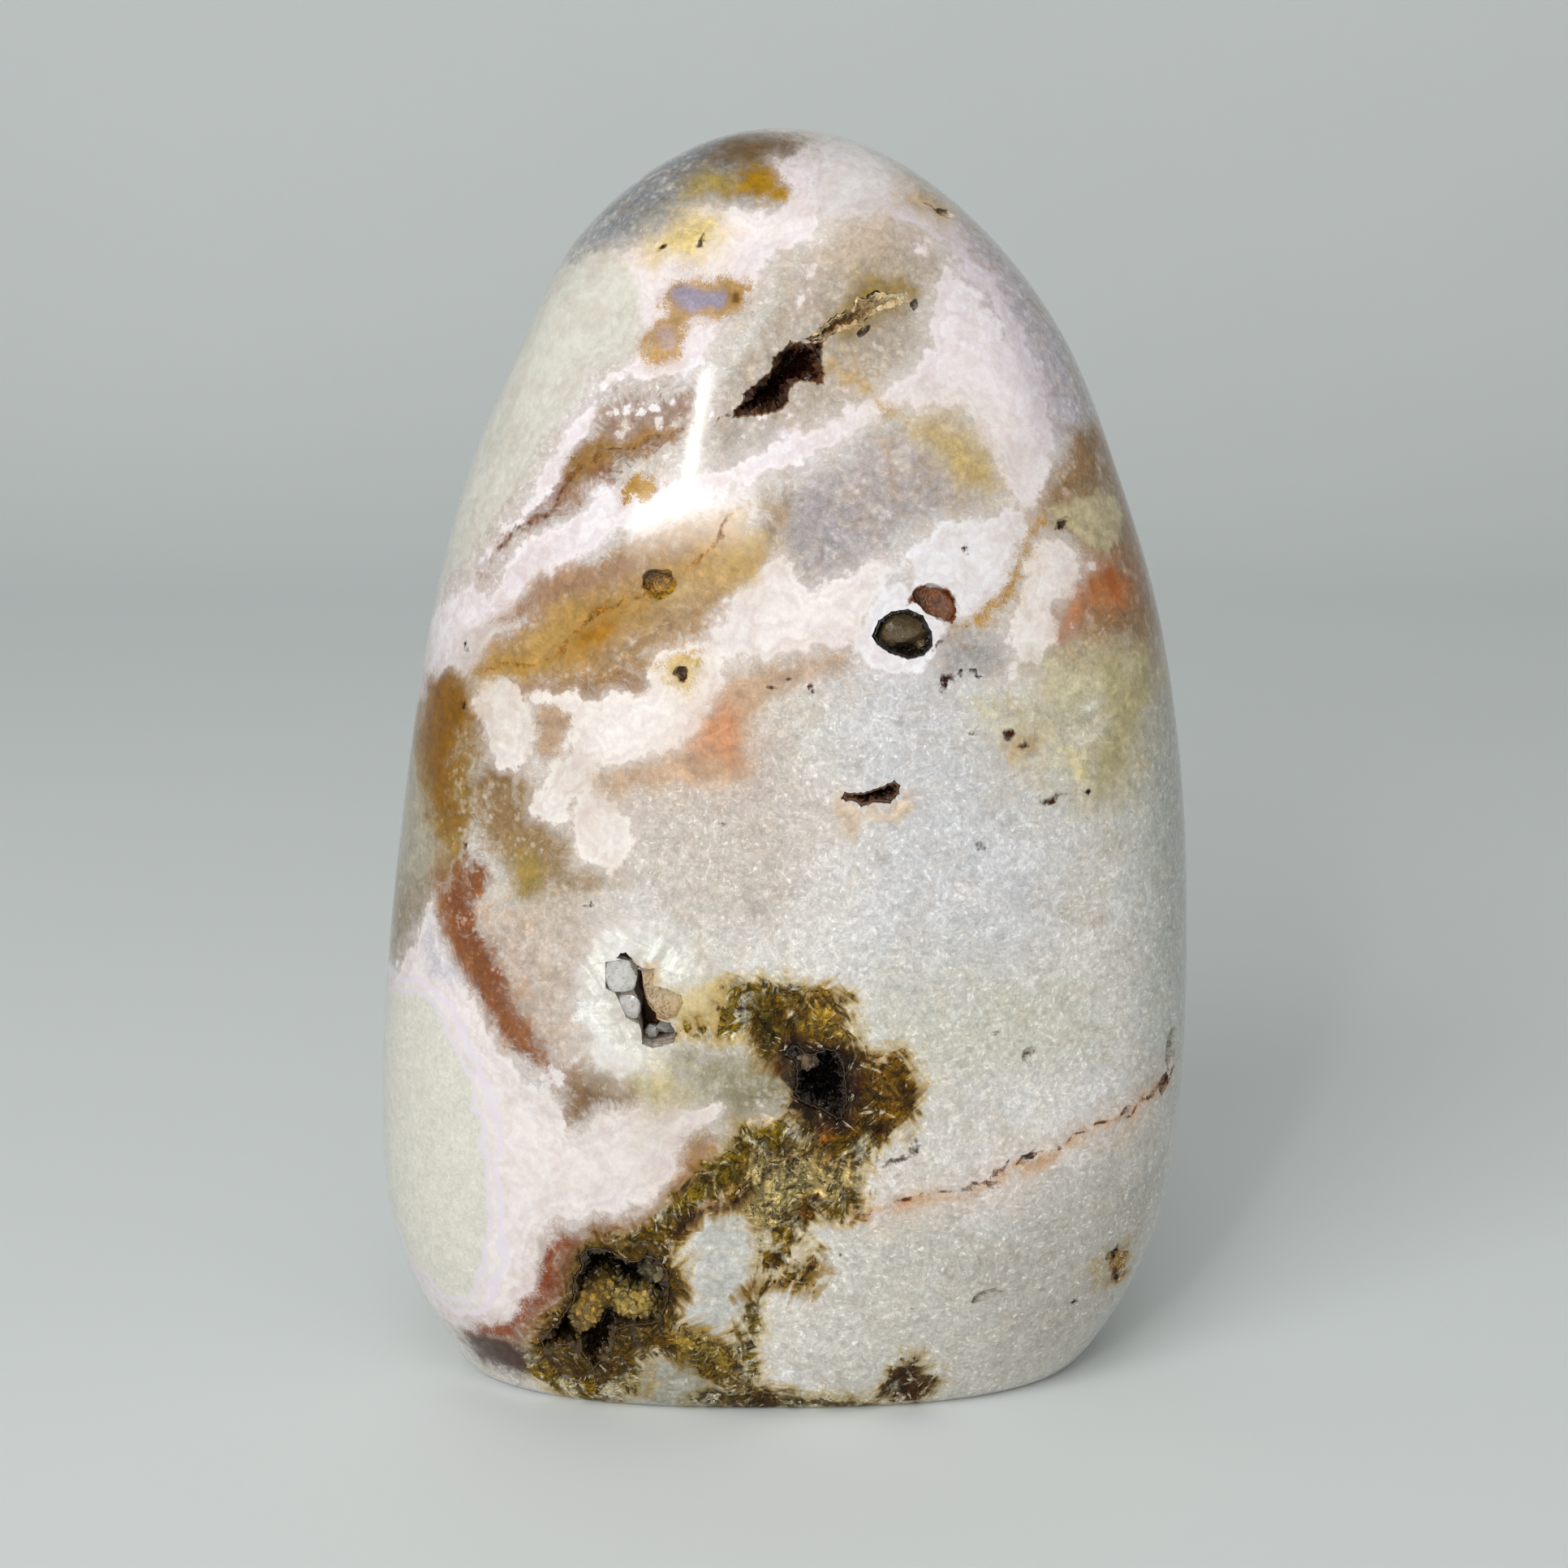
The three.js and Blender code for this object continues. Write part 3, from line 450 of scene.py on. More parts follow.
            "crownUpper": ((118, 98, 46), 0.6, [(-5.4, 42.2), (-3.4, 43), (0, 43), (4, 42), (6.3, 40.5), (7, 37), (10.8, 35.4), (12.2, 31.8), (10.3, 28.5), (7.3, 25.4), (7, 22), (3.5, 20.2), (0.5, 18), (-2, 19.8), (-4.4, 22.9), (-8.5, 20.8), (-10, 15.5), (-9.8, 10), (-7.5, 8.2), (-3, 8.8), (-2.5, 4), (-5, 1.5), (-8.5, 5), (-12, 6.2), (-15, 1.5), (-18, 0), (-24, 2.5), (-24, 7), (-21, 11), (-19.5, 16), (-15.5, 19), (-11, 21.6), (-7, 25.4), (-3.4, 28.6), (0.2, 30.4), (0, 34.8), (-2.6, 37), (-4.2, 38.6), (-8.6, 38), (-8.8, 39.4), (-5.6, 40)]),
            "footSeam": ((98, 84, 56), 0.9, [(-8, 2), (-4, 3), (2, 1.4), (8, 0.8), (6, 0), (-8, 0)]),
            "footPatch": ((86, 66, 40), 0.8, [(10, 4), (12.5, 5.5), (14, 3), (13, 0.5), (10.5, 1)]),
            "fanCleft": ((224, 222, 214), 0.9, [(-17.4, 46), (-15, 47.4), (-11.4, 47), (-9.4, 44.6), (-11, 44.2), (-13.6, 46), (-16.6, 45), (-16.8, 42), (-15.6, 39.6), (-14.6, 37.4), (-15.8, 36.4), (-17.8, 38.6), (-18.4, 42.4)]),
            "rightFleck": ((150, 124, 92), 0.7, [(30.5, 13.5), (32.5, 14.2), (33, 12), (31.5, 11)]),
        },
        "lines": {
            "seamA": ((120, 98, 52), 0.5, 0.8, [(-2.8, 12.5), (-1.5, 14.5), (0.8, 15.5), (2.5, 16.3)]),
            "seamB": ((96, 78, 34), 0.5, 1.4, [(-0.8, 16.8), (1, 19.5), (3.8, 22), (5.3, 24.3)]),
            "seamC": ((118, 100, 60), 0.7, 1.6, [(-5, 1), (-3.8, 5), (-3, 9), (-2.5, 12.5)]),
        },
    },
    "deep": {
        "patches": {
            "aroundBrownHollow": ((52, 36, 16), 0.5, [
                (-0.8, 38), (2.5, 38.6), (6.2, 37.6), (7.4, 34), (7.4, 31), (5.8, 28.9), (2, 30.2), (0, 33)]),
            "goldTop": ((138, 112, 58), 0.7, [(1.7, 41.2), (4.4, 41.6), (5.8, 39), (4.2, 37.7), (1.6, 38.5)]),
            "brownRight": ((104, 80, 40), 0.6, [(7, 35.4), (10.4, 34.8), (11.8, 31.4), (9.4, 28.5), (6.6, 29)]),
            "oliveLeft": ((92, 82, 50), 0.7, [(-2.4, 40.6), (0.6, 38.6), (0.2, 35.4), (-1.8, 36.8)]),
            "goldLow": ((164, 148, 104), 0.8, [(-2, 26.2), (2.8, 27.4), (6, 24.6), (2.9, 22.6), (-1.5, 20.4), (-3.9, 22.2)]),
            "goldFoot": ((142, 120, 66), 0.8, [(-9.6, 9), (-6.8, 9.4), (-4.6, 6), (-7.4, 4.6), (-10.4, 6.4)]),
            "aroundLowerHollow": ((92, 76, 42), 0.6, [
                (-20.5, 14.8), (-17, 17.6), (-13, 17.8), (-10.3, 15.5), (-10, 11.8), (-11.6, 8.4), (-15, 5.4),
                (-18, 3.4), (-21.6, 4), (-22.8, 7), (-21, 10.5)]),
        },
        "lines": {
            "darkBranch": ((84, 64, 32), 0.4, 0.5, [(3.6, 29.6), (2, 27.4), (-1, 25), (-3.8, 22.8), (-7, 21.4), (-10.2, 19)]),
            "darkFoot": ((84, 66, 34), 0.4, 0.4, [(-10, 7.4), (-7, 5.4), (-4.4, 3), (-1.6, 1.8)]),
            "oliveCrack": ((110, 88, 46), 0.3, 0.4, [(-4.3, 12.4), (-1.5, 14.2), (0.7, 13.8), (2.9, 15.6)]),
            "rustCrack": ((150, 96, 40), 0.4, 0.4, [(3.8, 29.4), (3.4, 26), (1.6, 22.6), (3, 20.8)]),
        },
    },
    "dark": {
        "patches": {
            "brownPit": ((104, 66, 12), 0.12, [
                (11.4, 77.6), (11.9, 78.9), (12.9, 79.5), (14.3, 79.2), (15.4, 78.1), (15.8, 76.9),
                (15, 76.3), (13.7, 76.3), (12.4, 76.9)]),
            "goldPit": ((140, 108, 54), 0.15, [
                (-12.9, 79.5), (-12.3, 80.6), (-11, 80.9), (-10, 80.2), (-9.9, 79.2), (-10.8, 78.5),
                (-12.2, 78.6)]),
        },
        "lines": {
            "bladeGapA": ((66, 50, 34), 0.2, 0.22, [(20.1, 66), (20.9, 65.4), (21.8, 65.3)]),
            "bladeGapB": ((74, 58, 34), 0.2, 0.2, [(23.5, 60.1), (24.4, 59.4), (25.4, 59.7), (26.9, 59.2)]),
            "bladeGapC": ((70, 58, 40), 0.2, 0.16, [(18.8, 67.3), (17.6, 66.9), (16.8, 66.6)]),
            "markBlueA": ((52, 48, 58), 0.15, 0.2, [(14, 71.5), (14.7, 71.1), (15.1, 70.3)]),
            "markBlueB": ((60, 56, 66), 0.15, 0.14, [(16.3, 70.7), (17.4, 70.4), (18, 70.8)]),
            "darkBranchA": ((60, 46, 24), 0.25, 0.24, [(3.6, 29.6), (2.4, 27.6), (-1, 25.2), (-3.8, 23), (-7, 21.6), (-10.2, 19.4), (-12, 17.6)]),
            "darkBranchB": ((64, 50, 26), 0.2, 0.2, [(-9.4, 38.2), (-8.6, 38.8), (-7.8, 38), (-7, 38.6)]),
            "darkBranchF": ((60, 46, 24), 0.2, 0.22, [(-6.6, 41.6), (-5.4, 40.6), (-3.6, 40.8), (-2.4, 39.8), (-1, 38)]),
            "darkBranchC": ((66, 50, 26), 0.2, 0.2, [(9.4, 29.4), (8, 26.6), (9.6, 25), (11.8, 26.4), (12.4, 28)]),
            "darkBranchD": ((66, 52, 28), 0.2, 0.2, [(-9.4, 9.2), (-6, 7.2), (-3.8, 3.6), (-2.6, 0.6)]),
            "darkBranchE": ((66, 52, 28), 0.18, 0.16, [(0.8, 24.6), (3.4, 22.4), (1.6, 19.8), (-0.4, 17.4), (-1.4, 14.4), (1.2, 14.6), (3, 15.9)]),
            "crackTop": ((150, 118, 78), 0.15, 0.16, [
                (-16.8, 91), (-15.3, 91.8), (-12.3, 92.3), (-8.5, 92.8), (-6.3, 93), (-5.3, 94),
                (-4.5, 94.8)]),
            "brownSeam": ((128, 88, 62), 0.2, 0.3, [
                (-26.5, 81), (-24, 83.8), (-22, 85.5), (-19.8, 87.8), (-17, 90.5)]),
            "ochreLine": ((160, 100, 34), 0.2, 0.14, [
                (-27.2, 70), (-25, 71.2), (-22.7, 72.2), (-20.5, 73.1), (-19.1, 74.5), (-17.5, 75.9),
                (-15.6, 77.3), (-13.5, 78.6), (-11.3, 79.7), (-8.9, 80.8), (-7.3, 82.2), (-6, 83.7), (-4.9, 85.6)]),
            "crackLow": ((98, 60, 30), 0.15, 0.26, [
                (6.3, 21.8), (9, 21.5), (11.5, 22.3), (14.8, 23), (17.8, 23.5), (20.8, 24),
                (22.5, 25.5), (25.3, 26.3), (28.5, 27), (30.5, 27.8), (34.3, 29), (36, 30), (37, 32)]),
            "veinDark": ((70, 50, 26), 0.15, 0.35, [(17, 76), (14.8, 75), (13.3, 73.6)]),
            "cleftRoot": ((84, 62, 40), 0.2, 0.3, [(12.8, 113.2), (13.8, 112.8), (15.5, 112.2)]),
            "hairLow": ((150, 130, 92), 0.15, 0.15, [(18.8, 34), (20.6, 34.4), (23, 35.2)]),
        },
        "spots": [
            (-7.5, 109.8, 0.4), (-11, 109.3, 0.3), (-9.3, 71.4, 0.5), (-1.2, 70.3, 0.3), (2.3, 70.5, 0.25),
            (0, 71, 0.25), (14, 71.5, 0.3), (14, 70.3, 0.45), (15.8, 70.8, 0.4), (16.8, 71, 0.3),
            (20.8, 65.8, 0.4), (21.8, 64.5, 0.3), (20.2, 65.8, 0.3), (24.8, 59.3, 0.3), (28.3, 60, 0.3),
            (17.8, 55.8, 0.45), (18.3, 55.2, 0.3), (-5.5, 57.5, 0.3), (-18.3, 50, 0.4), (-17.8, 49.3, 0.25),
            (19.3, 38, 0.3), (25.5, 84.3, 0.4), (16.5, 82.3, 0.3), (-29.8, 67.8, 0.3), (-29.8, 55, 0.4),
            (12.3, 28, 0.4), (11.3, 28.3, 0.25), (7.5, 23.5, 0.3), (-8, 38.8, 0.4), (31.3, 14.3, 0.4),
            (32, 11.8, 0.3), (27.5, 10.3, 0.3), (12.5, 11.5, 0.25), (11.5, 5.3, 0.4), (11.8, 3, 0.6),
            (21.3, 4, 0.3), (-29.3, 72.5, 0.25), (5.3, 16.3, 0.25),
        ],
        "spotTone": (70, 54, 38),
    },
}

# The back isn't in the photo: broad bands, flowers and a stained seam of the same kinds
backMarkings = {
    "haze": {
        "patches": {
            "warmSugar": ((207, 197, 186), 5, [(-24, 50), (-6, 56), (4, 44), (-8, 30), (-24, 32)]),
            "coolSugar": ((200, 201, 203), 5, [(6, 36), (26, 44), (36, 30), (28, 12), (8, 14)]),
        },
    },
    "glassy": {
        "patches": {
            "mauveBack": ((184, 160, 146), 0.7, [
                (-36, 62), (-22, 66), (-8, 74), (6, 78), (20, 76), (36, 84), (36, 74), (22, 68),
                (10, 68), (-6, 63), (-22, 56), (-38, 52)]),
            "greyBack": ((176, 169, 168), 0.8, [
                (-24, 98), (-10, 100), (2, 106), (14, 106), (24, 98), (22, 92), (10, 96), (-4, 92),
                (-20, 88)]),
            "brownBack": ((160, 128, 98), 0.6, [(-40, 30), (-30, 34), (-24, 26), (-28, 16), (-36, 12), (-41, 20)]),
            "greyFoot": ((170, 164, 150), 1.4, [(10, 10), (24, 14), (34, 8), (28, 0), (8, 0)]),
        },
    },
    "milky": {
        "patches": {
            "bandBack": ((239, 233, 232), 0.2, [
                (-36, 72), (-22, 76), (-8, 84), (8, 88), (22, 84), (34, 90), (30, 98), (20, 92),
                (8, 97), (-6, 92), (-20, 87), (-32, 84)]),
            "capBack": ((226, 222, 214), 0.5, [
                (-18, 106), (-6, 108), (6, 113), (16, 110), (8, 124), (-10, 124)]),
            "flowerBackA": ((240, 231, 223), 0.15, [(-16, 66), (-10, 69), (-5, 66), (-7, 61), (-13, 60), (-17, 62)]),
            "flowerBackB": ((236, 228, 220), 0.15, [(14, 74), (20, 76), (24, 72), (20, 67), (14, 69)]),
            "flowerBackC": ((236, 226, 217), 0.15, [(4, 72), (8, 73), (9, 69), (5, 67), (2, 69)]),
            "lowBack": ((229, 221, 214), 0.25, [
                (-40, 30), (-34, 38), (-24, 36), (-16, 28), (-18, 16), (-26, 8), (-36, 4), (-42, 14)]),
            "foldBack": ((228, 223, 220), 0.3, [(24, 56), (34, 60), (42, 54), (40, 42), (30, 44), (22, 50)]),
        },
        "spots": [(-2, 60, 0.7), (0, 58.5, 0.5), (12, 64, 0.6), (-22, 60, 0.6), (28, 79, 0.7), (26, 77, 0.4)],
        "spotTone": (236, 230, 226),
    },
    "stain": {
        "patches": {
            "ochreBack": ((170, 122, 44), 0.8, [(-30, 58), (-20, 61), (-12, 60), (-20, 57), (-30, 54)]),
            "rosyBack": ((206, 184, 174), 1.2, [(-4, 62), (8, 66), (18, 66), (12, 62), (0, 58)]),
            "yellowBack": ((214, 190, 134), 1, [(0, 98), (8, 102), (14, 100), (8, 97)]),
        },
        "lines": {
            "veinBack": ((204, 166, 84), 0.5, 0.9, [(-10, 88), (-2, 82), (4, 79), (14, 80), (22, 79)]),
        },
    },
    "core": {
        "patches": {
            "creamBack": ((201, 198, 184), 0.15, [(-42, 24), (-36, 32), (-28, 30), (-22, 22), (-28, 12), (-38, 10)]),
        },
    },
    "druse": {
        "patches": {
            "seamBack": ((128, 106, 60), 1, [
                (2, 40), (10, 42), (16, 36), (14, 28), (18, 20), (14, 14), (8, 18), (6, 28), (0, 34)]),
        },
    },
    "deep": {
        "patches": {
            "heartBack": ((80, 60, 26), 1, [(5, 37), (10, 38), (12, 33), (9, 27), (6, 31)]),
        },
    },
    "dark": {
        "lines": {
            "crackBack": ((110, 70, 42), 0.12, 0.2, [(-16, 46), (-8, 47), (0, 45), (6, 41)]),
        },
        "spots": [(20, 30, 0.4), (24, 34, 0.3), (-10, 42, 0.3), (-20, 44, 0.4), (30, 26, 0.3), (4, 54, 0.3)],
        "spotTone": (78, 60, 42),
    },
}

layerNames = list(frontMarkings)
farOff = 9.0  # mm: distances are cut off here


def distanceTo(points, outline, closed):
    ends = np.roll(outline, -1, 0) if closed else outline[1:]
    starts = outline if closed else outline[:-1]
    nearest = np.full(len(points), farOff**2)
    inside = np.zeros(len(points), bool)
    for (ax, az), (bx, bz) in zip(starts, ends):
        alongX, alongZ = bx - ax, bz - az
        toX, toZ = points[:, 0] - ax, points[:, 1] - az
        share = np.clip((toX * alongX + toZ * alongZ) / max(alongX**2 + alongZ**2, 1e-9), 0, 1)
        gap = (toX - share * alongX) ** 2 + (toZ - share * alongZ) ** 2
        np.minimum(nearest, gap, out=nearest)
        if closed:
            crosses = (az > points[:, 1]) != (bz > points[:, 1])
            slope = alongX / (alongZ if abs(alongZ) > 1e-9 else 1e-9)
            inside ^= crosses & (points[:, 0] < ax + slope * toZ)
    gap = np.sqrt(nearest)
    return np.where(inside, gap, -gap) if closed else gap


def nearPatch(points, outline):
    low, high = outline.min(0) - farOff, outline.max(0) + farOff
    return np.flatnonzero(((points > low) & (points < high)).all(1))


def readLayer(layer, points):
    # How deep each point lies in the layer, and the tone and softness there.
    depth = np.full(len(points), -farOff)
    looks = np.zeros((len(points), 4))
    total = np.full(len(points), 1e-9)

    def add(near, inner, tone, soft):
        share = np.exp(np.clip(inner, -farOff, 3) / max(0.4, 0.7 * soft))
        depth[near] = np.maximum(depth[near], inner)
        looks[near] += share[:, None] * np.array([*[value / 255 for value in tone], soft])
        total[near] += share

    for tone, soft, corners in layer.get("patches", {}).values():
        outline = smoothOutline(corners)
        near = nearPatch(points, outline)
        add(near, distanceTo(points[near], outline, True), tone, soft)
    for tone, soft, width, corners in layer.get("lines", {}).values():
        outline = np.array(corners, float)
        near = nearPatch(points, outline)
        add(near, width / 2 - distanceTo(points[near], outline, False), tone, soft)
    for x, z, radius in layer.get("spots", []):
        near = nearPatch(points, np.array([(x, z)]))
        gap = np.hypot(points[near, 0] - x, points[near, 1] - z)
        add(near, radius - gap, layer["spotTone"], 0.15)
    return depth, looks / total[:, None]


def toLinear(shade):
    shade = np.asarray(shade, float)
    return np.where(shade <= 0.04045, shade / 12.92, ((shade + 0.055) / 1.055) ** 2.4)


def markStone(piece, wanted):
    at = readPoints(piece) / mm
    frontShare = np.clip((6 - at[:, 1]) / 12, 0, 1)
    frontShare = frontShare**2 * (3 - 2 * frontShare)
    sway = (1 - frontShare) * 2.5
    flat = np.stack([
        at[:, 0] + sway * np.sin(0.31 * at[:, 1] + 0.11 * at[:, 2]),
        at[:, 2] + sway * np.sin(0.27 * at[:, 1] + 0.13 * at[:, 0]),
    ], 1)
    for axis in (0, 1):  # no natural outline is straight
        flat[:, axis] += 0.75 * roughen(at, 8, 21 + axis) + 0.35 * roughen(at, 2.6, 31 + axis)
    results = {}
    for layerName in wanted:
        frontDepth, frontLook = readLayer(frontMarkings[layerName], flat)
        backDepth, backLook = readLayer(backMarkings[layerName], flat)
        depth = frontShare * frontDepth + (1 - frontShare) * backDepth
        weightFront = frontShare * np.exp(np.clip(frontDepth, -9, 3) / 0.8) + 1e-9
        weightBack = (1 - frontShare) * np.exp(np.clip(backDepth, -9, 3) / 0.8) + 1e-9
        share = (weightFront / (weightFront + weightBack))[:, None]
        results[layerName] = (depth, frontLook * share + backLook * (1 - share))
    return at, results


# The tones are as seen, with the room mirrored in the polish, so the stone's own are deeper
def ownTone(shade):
    return np.clip(toLinear(shade) * 0.97 - 0.028, 0.002, 1)


def writeMarks(piece, results, sunk):
    for layerName, (depth, looks) in results.items():
        field = piece.data.attributes.new(layerName + "Depth", "FLOAT", "POINT")
        field.data.foreach_set("value", depth.astype(np.float32))
        tones = piece.data.attributes.new(layerName + "Tone", "FLOAT_COLOR", "POINT")
        colour = np.concatenate([ownTone(looks[:, :3]), looks[:, 3:]], 1)
        tones.data.foreach_set("color", colour.astype(np.float32).ravel())
    field = piece.data.attributes.new("sunk", "FLOAT", "POINT")
    field.data.foreach_set("value", sunk.astype(np.float32))


# Hollows of the front: the rim as (x, z) in mm, and how deep they go
hollows = {
    "upper": {
        "rim": [
            (-4.9, 94.1), (-4.6, 95), (-3.8, 95.7), (-3.8, 96.4), (-3, 97.1), (-1.7, 98.1),
            (-1.2, 98.6), (-1.1, 99.7), (0.1, 100.6), (0.5, 101.2), (1.5, 101.1), (2.5, 101),
            (3.7, 101.1), (3.5, 100), (3.5, 99.3), (3.8, 98.2), (3.7, 97.2), (3, 97.1),
            (2.4, 97.4), (1.2, 97.4), (0.5, 96.6), (0.5, 95.7), (-0.1, 95), (-0.8, 94.7),
            (-2, 94.4), (-3.3, 94.3)],
        "depth": 9, "floor": 0.5, "jag": 0.2,
    },
    "trough": {
        "rim": [
            (2.5, 100.9), (1.7, 101.3), (2.6, 101.8), (3.7, 102.7), (4.7, 103.5), (5.6, 103.9),
            (6.1, 103.9), (6.5, 105.1), (7.4, 104.8), (8.3, 105.5), (9.7, 105.3), (11.1, 105.4),
            (11.8, 104.6), (10.6, 104.1), (8.8, 103.7), (7.6, 103.1), (7.4, 102.2), (6.5, 102.2),
            (5.3, 101.9), (4.4, 101.6), (3.8, 101)],
        "depth": 1.5, "floor": 0.6, "jag": 0.2,
    },
    "centre": {
        "rim": [
            (5.1, 60.2), (5.5, 60.9), (6.4, 60.8), (7.5, 60.9), (8.7, 61.3), (10, 61.9), (10.6, 61.4),
            (10.5, 60.6), (9.7, 59.7), (8.5, 59.8), (7.7, 59.6), (7, 59.4), (6.5, 59.9), (5.6, 59.9)],
        "depth": 5, "floor": 0.5, "jag": 0.12,
    },
    "shelf": {
        "rim": [
            (-13.4, 43.4), (-13.8, 45), (-13.2, 44.6), (-12.5, 44.4), (-11.8, 44.5), (-12, 42.9),
            (-10.7, 42.6), (-9.4, 42), (-9.2, 41.2), (-9.8, 40), (-10.8, 39.6), (-12, 39.9),
            (-12.8, 41)],
        "depth": 1.5, "floor": 0.8, "jag": 0.05,
    },
    "cleft": {
        "rim": [
            (-15.4, 45.3), (-15, 45.8), (-14.5, 45.9), (-13.9, 45.3), (-13.2, 44.4), (-13, 43.3),
            (-12.9, 42.3), (-12.7, 41.3), (-12.2, 40.4), (-11.4, 39.6), (-10.4, 39.4), (-9.8, 38.4),
            (-10.1, 37.5), (-11.2, 37.1), (-12.1, 36.9), (-13.1, 37.3), (-13.1, 38.4), (-13.4, 39.4),
            (-13.3, 40.4), (-13.8, 41.4), (-14.1, 42), (-13.6, 43), (-13.6, 44.2), (-14.4, 45)],
        "depth": 5, "floor": 0.7, "jag": 0.06,
    },
    "window": {  # where the clear crystals are ground flush
        "rim": [
            (-16.4, 42.4), (-16.4, 44.9), (-14.8, 45.2), (-13.3, 44.5), (-13.4, 43), (-13.7, 41.8),
            (-13.2, 40.6), (-13.4, 39.2), (-14.5, 39.7), (-15.2, 41.4), (-15.5, 42)],
        "depth": 2.4, "floor": 0.9, "jag": 0.02, "pale": True,
    },
    "brown": {
        "rim": [
            (0.9, 35.8), (0.4, 36), (-0.1, 36.3), (0.1, 36.9), (0.6, 37.5), (1.3, 37.4), (2.2, 36.6),
            (3, 36.8), (3.8, 37.2), (4.8, 37), (5.6, 35.9), (5.9, 33.8), (6, 31.7), (5.5, 30.1),
            (4.8, 29.8), (4.2, 30.5), (3.6, 30.9), (2.4, 31.3), (1.4, 31.8), (0.8, 32.6), (1, 33.8)],
        "depth": 8, "floor": 0.5, "jag": 0.2,
    },
    "lower": {
        "rim": [
            (-23.3, 6.9), (-22.6, 8.1), (-21.7, 9), (-21, 10.3), (-19.9, 11.9), (-20.1, 13.1),
            (-19.9, 14.1), (-19.1, 15.1), (-19.3, 16.3), (-18.6, 17.2), (-17.3, 17.4),
            (-15.9, 17.1), (-15.1, 16.5), (-13.8, 16.2), (-12.9, 16.9), (-11.6, 16.4),
            (-10.7, 15.3), (-10.5, 13.6), (-10.7, 12), (-11.2, 10.7), (-11.6, 9.7), (-13, 9.3),
            (-14.5, 9.2), (-15.7, 8.6), (-15.7, 7.8), (-16.1, 6.2), (-17.3, 5), (-18.2, 3.8),
            (-18.6, 4.9), (-19.5, 6.2), (-20.6, 6.6), (-21.8, 5.9), (-22.9, 5.6)],
        "depth": 7, "floor": 0.6, "jag": 0.2,
    },
    "grey": {
        "rim": [
            (7.9, 74.9), (8.5, 76.3), (9.7, 77.1), (11.2, 77.3), (12.6, 76.7), (13.4, 75.2),
            (13.5, 73.9), (12.7, 73), (11.2, 72.7), (9.5, 73.3), (8.4, 74.1)],
        "depth": 3.5, "floor": 0.7, "jag": 0.06,
    },
}

pits = [  # centre on the face, half sizes, depth and turn of the long side
    ((13.6, 77.9), (2, 1.5), 1.2, -30), ((-11.4, 79.7), (1.7, 1.3), 1.5, 0),
    ((-9.3, 71.6), (0.8, 0.6), 1, 20), ((8.2, 104.9), (0.7, 0.5), 2.6, 10),
    ((7.2, 101.9), (0.8, 0.35), 1.6, 35), ((11.8, 104.2), (0.4, 0.5), 1.4, -15),
    ((15, 112.2), (1.2, 0.5), 0.8, -10),
    ((25.8, 84.3), (0.9, 0.7), 0.8, 0), ((19, 12.2), (1.8, 0.5), 0.9, 20),
    ((22.8, 35.7), (0.8, 0.9), 0.7, 0), ((31.3, 14.2), (0.9, 0.5), 0.7, 10),
    ((19.6, 23.3), (0.9, 0.4), 0.7, -15), ((22.6, 25.7), (1.2, 0.4), 0.7, 30),
    ((32.5, 29), (1.1, 0.4), 0.7, 10),
    ((36.4, 30.4), (1.3, 0.8), 1.6, 50), ((37, 33.6), (2, 0.9), 1.4, 80),
]


def jaggedRim(rim, jag, inset=0):
    corners = np.array(rim, float)
    following = np.roll(corners, -1, 0)
    if (corners[:, 0] * following[:, 1] - following[:, 0] * corners[:, 1]).sum() > 0:
        corners = corners[::-1]
    chance = random.Random(len(rim))
    points = []
    for start, end in zip(corners, np.roll(corners, -1, 0)):
        span = end - start
        length = np.hypot(*span)
        lobes = max(round(length / 0.7), 1)
        inward = np.array([span[1], -span[0]]) / length
        for lobe in range(lobes):
            height = min(chance.uniform(0.2, 1.2) * jag, 0.2 * length / lobes)
            for step in (0, 0.25, 0.5, 0.75):  # round crystal ends that stand into the hollow
                bulge = math.sin(math.pi * step) * height
                points.append(start + span * (lobe + step) / lobes + inward * (bulge + inset))
    return np.array(points)


def bowlPiece(name, rim, start, depth, floorScale, steps=9):
    centre = (rim.min(0) + rim.max(0)) / 2
    face = float(faceAt(centre[0], centre[1]))
    mesh = bpy.data.meshes.new(name)
    front = [(x * mm, (face + start) * mm, z * mm) for x, z in rim]
    mesh.from_pydata(front, [], [list(range(len(front)))])
    piece = bpy.data.objects.new(name, mesh)
    bpy.context.collection.objects.link(piece)
    activate(piece)
    bpy.ops.object.mode_set(mode="EDIT")
    bpy.ops.mesh.select_all(action="SELECT")
    first = max(start, 0)
    sinks = [first + (depth - first) * math.sin(math.pi / 2 * step / steps) for step in range(steps + 1)]
    past, scale = start, 1
    for sink in sinks[1 if start >= 0 else 0:]:
        bpy.ops.mesh.extrude_region_move(TRANSFORM_OT_translate={"value": (0, (sink - past) * mm, 0)})
        narrower = floorScale + (1 - floorScale) * math.sqrt(max(1 - (sink / depth) ** 2, 0))
        bpy.ops.transform.resize(
            value=(narrower / scale, 1, narrower / scale),
            center_override=(centre[0] * mm, 0, centre[1] * mm),
        )
        past, scale = sink, narrower
    bpy.ops.mesh.select_all(action="SELECT")
    bpy.ops.mesh.normals_make_consistent(inside=False)
    bpy.ops.object.mode_set(mode="OBJECT")
    # rows near the mouth follow the curved face
    at = readPoints(piece) / mm
    share = np.clip(1 - (at[:, 1] - face) / depth, 0, 1)
    at[:, 1] += share * (faceAt(at[:, 0], at[:, 2]) - face)
    writePoints(piece, at * mm)
    return piece


